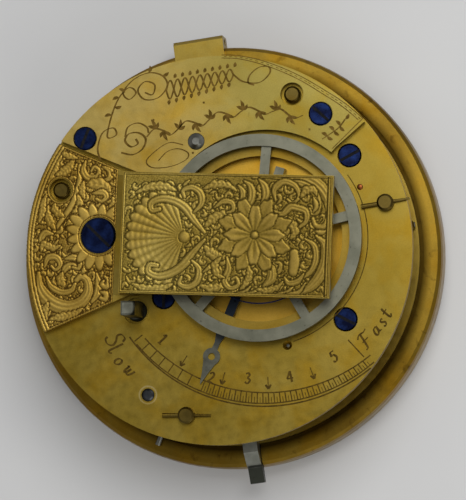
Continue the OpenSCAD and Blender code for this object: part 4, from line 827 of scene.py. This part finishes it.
def table_relief():
    """The cock's table: a rosette over the balance's pivot among scrolls, and a fan of ribs on the
    left. The places run along and across the cock from that pivot."""
    left, right = TABLE_ENDS
    piece, along, across = relief_grid(left, right, -TABLE_HALF, TABLE_HALF)
    height = stipple(along, across, 5)
    height = carve(height, along, across, filler(-12.4, 6.8, -5.3, 5.5, 11))
    height = shell(height, along, across, (-6.9, -0.35), 5.9, 15, radians(76))
    height = carve(height, along, across, TABLE_STROKES, SWELL)
    height = rosette(height, along, across, 8, 3.8, radians(22.5), 0.75)
    height = rosette(height, along, across, 8, 3.0, 0, 1.0)
    height = boss(height, along, across, 0.36)
    # A plain border, wider at the balance's end, with a cut along its inner edge
    inset = np.minimum(np.minimum(along - left, right - along), TABLE_HALF - np.abs(across))
    from_end = right - along
    height = np.where((inset < 0.16) | (from_end < 0.42), 0.8, height)
    height = np.where((np.abs(inset - 0.2) < 0.05) | (np.abs(from_end - 0.47) < 0.06), 0.05, height)
    z = TABLE_TOP + BED + RELIEF * height * fade(inset / 0.09)
    z = np.where(inset < 0.01, TABLE_TOP - 0.02, z)
    x = BALANCE[0] + along * cos(COCK_TURN) - across * sin(COCK_TURN)
    y = BALANCE[1] + along * sin(COCK_TURN) + across * cos(COCK_TURN)
    put_points(piece, np.stack([x, y, z], -1))
    piece.data.shade_smooth()
    finish_piece(piece, "table_carving", "carved_table")


def foot_relief():
    """The cock's foot: leaves round its screw, a bold scroll below and leafy curls up to the bridge."""
    piece, x, y = relief_grid(-19.15, -7, -5.9, 12.8)

    def inset(px, py):
        """How far a place lies inside the foot's outline and outside its holes."""
        away = FOOT_RADIUS - np.hypot(px, py)
        for a, b in FOOT_EDGES:
            length = dist(a, b)
            away = np.minimum(away, ((px - a[0]) * (b[1] - a[1]) - (py - a[1]) * (b[0] - a[0])) / length)
        for (cx, cy), radius in FOOT_HOLES:
            away = np.minimum(away, np.hypot(px - cx, py - cy) - radius)
        return away

    deep = inset(x, y)
    height = stipple(x, y, 6)
    height = carve(height, x, y, filler(-18.6, -8, -5.4, 12, 12))
    height = carve(height, x, y, FOOT_STROKES, SWELL)
    height = rays(height, x - COCK_SCREW[0], y - COCK_SCREW[1], 17, 3.4)
    # Turned bands along the round edge, and a plain border with a cut along the others
    rim = FOOT_RADIUS - np.hypot(x, y)
    for start, end, level in ((0, 0.3, 0.75), (0.3, 0.4, 0.05), (0.4, 0.62, 0.9), (0.62, 0.72, 0.05)):
        height = np.where((rim >= start) & (rim < end), level, height)
    height = np.where((deep < 0.16) & (rim > 0.5), 0.7, height)
    height = np.where((np.abs(deep - 0.2) < 0.05) & (rim > 0.72), 0.05, height)
    z = FOOT_TOP + BED + RELIEF * height * fade(deep / 0.08) - 0.03 * (deep < 0.0)
    put_points(piece, np.stack([x, y, z], -1))
    piece.data.shade_smooth()
    drop_faces(piece, lambda px, py: inset(px, py) > -0.02)
    finish_piece(piece, "foot_carving", "carved_foot")


HALO_RADIUS, HALO_WIDTH = 0.86, 0.16
PIN_RADIUS, PIN_ROUNDNESS, PIN_DEPTH = 0.3, 0.35, 0.05


def small_finish():
    """The pale ring round the stop stud and the copper pin in the plate, filed nearly flat."""
    ring = arc(STOP_STUD, HALO_RADIUS, 0, 360, 8)
    engrave("stud_halo", [(HALO_WIDTH, ring)], PLATE_TOP + CUT_LIFT, "bare_halo")
    deselect()
    bpy.ops.mesh.primitive_uv_sphere_add(
        segments=24, ring_count=10, radius=PIN_RADIUS * MM,
        location=Vector((*COPPER_PIN, PLATE_TOP)) * MM)
    bpy.ops.object.transform_apply()
    pin = bpy.context.object
    for v in pin.data.vertices:
        v.co.z = PLATE_TOP * MM + max(-PIN_DEPTH * MM, (v.co.z - PLATE_TOP * MM) * PIN_ROUNDNESS)
    pin.data.shade_smooth()
    finish_piece(pin, "copper_pin", "copper_pin")


# Springs: an upright strip along a line
def ribbon(line, bottom, top, width):
    """An upright strip of spring along the line."""
    piece = new_grid(1, len(line) - 1)
    places = np.empty((2 * len(line), 3))
    places[0::2, :2] = places[1::2, :2] = line
    places[0::2, 2], places[1::2, 2] = bottom, top
    put_points(piece, places)
    thick = piece.modifiers.new("thick", "SOLIDIFY")
    thick.thickness, thick.offset = width * MM, 0
    bpy.ops.object.modifier_apply(modifier="thick")
    mode("EDIT")
    turn_normals_out()
    bpy.ops.object.shade_smooth_by_angle(angle=CREASE)
    return piece


# The hairspring: its stud's angle, its end radii and its turns. The outer turn is round as far as the
# curb pins reach and then eases into coils that are evenly spaced from a little before
STUD_ANGLE = 65.4
HAIR_OUT, HAIR_IN, HAIR_TURNS = 6.4, 1.03, 5.5
HAIR_EVEN_FROM, HAIR_ROUND_TO, HAIR_EASE = 0.64, 0.78, 0.2
HAIR_WIDTH = 0.12
# The far end given for the bend lies this far past the balance's axis
PAST_AXIS = 9.0


def wound_hairspring():
    """The hairspring, wound inwards from its outer end at the stud."""
    turn = np.linspace(0, HAIR_TURNS, int(72 * HAIR_TURNS))
    even = (HAIR_OUT - HAIR_IN) * (turn - HAIR_EVEN_FROM) / (HAIR_TURNS - HAIR_EVEN_FROM)
    radius = HAIR_OUT - even * fade((turn - HAIR_ROUND_TO) / HAIR_EASE)
    angle = np.radians(STUD_ANGLE - 360 * turn)
    outward = np.stack([np.cos(angle), np.sin(angle)], 1)
    low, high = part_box("hairspring")
    piece = ribbon(BALANCE + radius[:, None] * outward, low.z / MM, high.z / MM, HAIR_WIDTH)
    stud, far = (BALANCE + reach * outward[0] for reach in (HAIR_OUT, -PAST_AXIS))
    bend = ("balance", (*stud * MM, low.z), (*far * MM, low.z))
    finish_piece(piece, "wound_hairspring", "blued_spring_steel", bend)
    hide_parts("hairspring")


# The bolt's spring: its eye, its leaf from root to tip, the leaf's height and width, and the radii of
# the eye and of the post below it
SPRING_EYE = (4.2, -14.4)
SPRING_LEAF = [(4.2, -14.1), (-1.1, -14.7)]
LEAF_HEIGHT, LEAF_WIDTH = 0.45, 0.22
EYE_RADIUS, POST_RADIUS = 0.6, 0.35


def flexed_bolt_spring():
    """The bolt's spring: a post in the pillar plate with an eye, and a leaf."""
    low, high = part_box("bolt_spring")
    bottom, top = high.z / MM - LEAF_HEIGHT, high.z / MM
    piece = ribbon(through(SPRING_LEAF, 0.2), bottom, top, LEAF_WIDTH)
    for radius, foot in ((EYE_RADIUS, bottom), (POST_RADIUS, low.z / MM)):
        bpy.ops.mesh.primitive_cylinder_add(
            vertices=48, radius=radius * MM, depth=(top - foot) * MM,
            location=Vector((*SPRING_EYE, (top + foot) / 2)) * MM)
        bpy.ops.object.transform_apply()
        bpy.ops.object.shade_smooth_by_angle(angle=CREASE)
        piece.select_set(True)
        bpy.context.view_layer.objects.active = piece
        bpy.ops.object.join()
    root, tip = (Vector((*place, top)) * MM for place in SPRING_LEAF)
    finish_piece(piece, "flexed_bolt_spring", "blued_spring_steel",
                 ("bolt", root.lerp(tip, 0.1), root.lerp(tip, 0.75)))
    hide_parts("bolt_spring")


# Dark strips over the screw slots: painted shadow in the slots
for node, slots in SCREW_SLOTS.items():
    cuts = [(SLOT_WIDTH, np.array([place - length / 2 * ray(angle), place + length / 2 * ray(angle)]))
            for place, angle, length in slots]
    engrave(node + "_slot_shadows", cuts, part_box(node)[1].z / MM + SLOT_LIFT, "slot_shade")
engrave("scale_engraving", scale_cuts(), PLATE_TOP + CUT_LIFT)
engrave("bridge_flourish", flourish_cuts(), FOOT_TOP + CUT_LIFT, "worn_line")
table_relief()
foot_relief()
small_finish()
wound_hairspring()
flexed_bolt_spring()

# The stage: a pale floor, soft light and the camera at the photograph's angle
TILT = radians(11.07)
TOWARDS = radians(-36.6)
PICTURE_TURN = radians(-8.6)
DISTANCE = 300
LOOKS_AT, ASIDE, ABOVE = 4.6, 0.218, 0.632
FOCAL_PX = 2971.6
FRAME_PX = 466


def add_camera():
    level = Vector((cos(TOWARDS), sin(TOWARDS), 0))
    back = level * sin(TILT) + Vector((0, 0, cos(TILT)))
    right = Vector((cos(PICTURE_TURN), sin(PICTURE_TURN), 0))
    right = (right - right.dot(back) * back).normalized()
    up = back.cross(right)
    place = DISTANCE * back + ASIDE * right + ABOVE * up + Vector((0, 0, LOOKS_AT))
    data = bpy.data.cameras.new("camera")
    data.sensor_fit = "HORIZONTAL"
    data.lens = data.sensor_width * FOCAL_PX / FRAME_PX
    data.clip_start = 0.01
    camera = bpy.data.objects.new("camera", data)
    camera.matrix_world = Matrix.Translation(place * MM) @ Matrix((right, up, back)).transposed().to_4x4()
    bpy.context.scene.collection.objects.link(camera)
    bpy.context.scene.camera = camera


def add_floor():
    bpy.ops.mesh.primitive_plane_add(size=3, location=(0, 0, -0.05 * MM))
    floor = bpy.context.object
    floor.name = "floor"
    material, add, shader, mm = new_material("floor_paper")
    cloud = add("TexNoise", {"Vector": mm, "Scale": 0.05, "Detail": 2})
    tone = add("ValToRGB", {"Fac": cloud}, [(0.3, "#c5c5c5"), (0.7, "#c9c9c8")])
    feed(shader, {"Base Color": tone, "Roughness": 0.85})
    floor.data.materials.append(material)


def add_light(name, place, size, watts):
    data = bpy.data.lights.new(name, "AREA")
    data.shape = "DISK"
    data.size = size * MM
    data.energy = watts
    light = bpy.data.objects.new(name, data)
    light.location = Vector(place) * MM
    light.rotation_euler = (Vector((0, 0, 8)) - Vector(place)).to_track_quat("-Z", "Y").to_euler()
    bpy.context.scene.collection.objects.link(light)


def add_world(level):
    world = bpy.context.scene.world = bpy.data.worlds.new("studio")
    world.use_nodes = True
    feed(world.node_tree.nodes["Background"], {"Color": (level, level, level, 1)})


bpy.context.scene.view_settings.view_transform = "Standard"
add_camera()
add_floor()
add_world(0.38)
add_light("key", (75, 90, 230), 170, 0.40)
add_light("fill", (90, -190, 170), 200, 0.2)
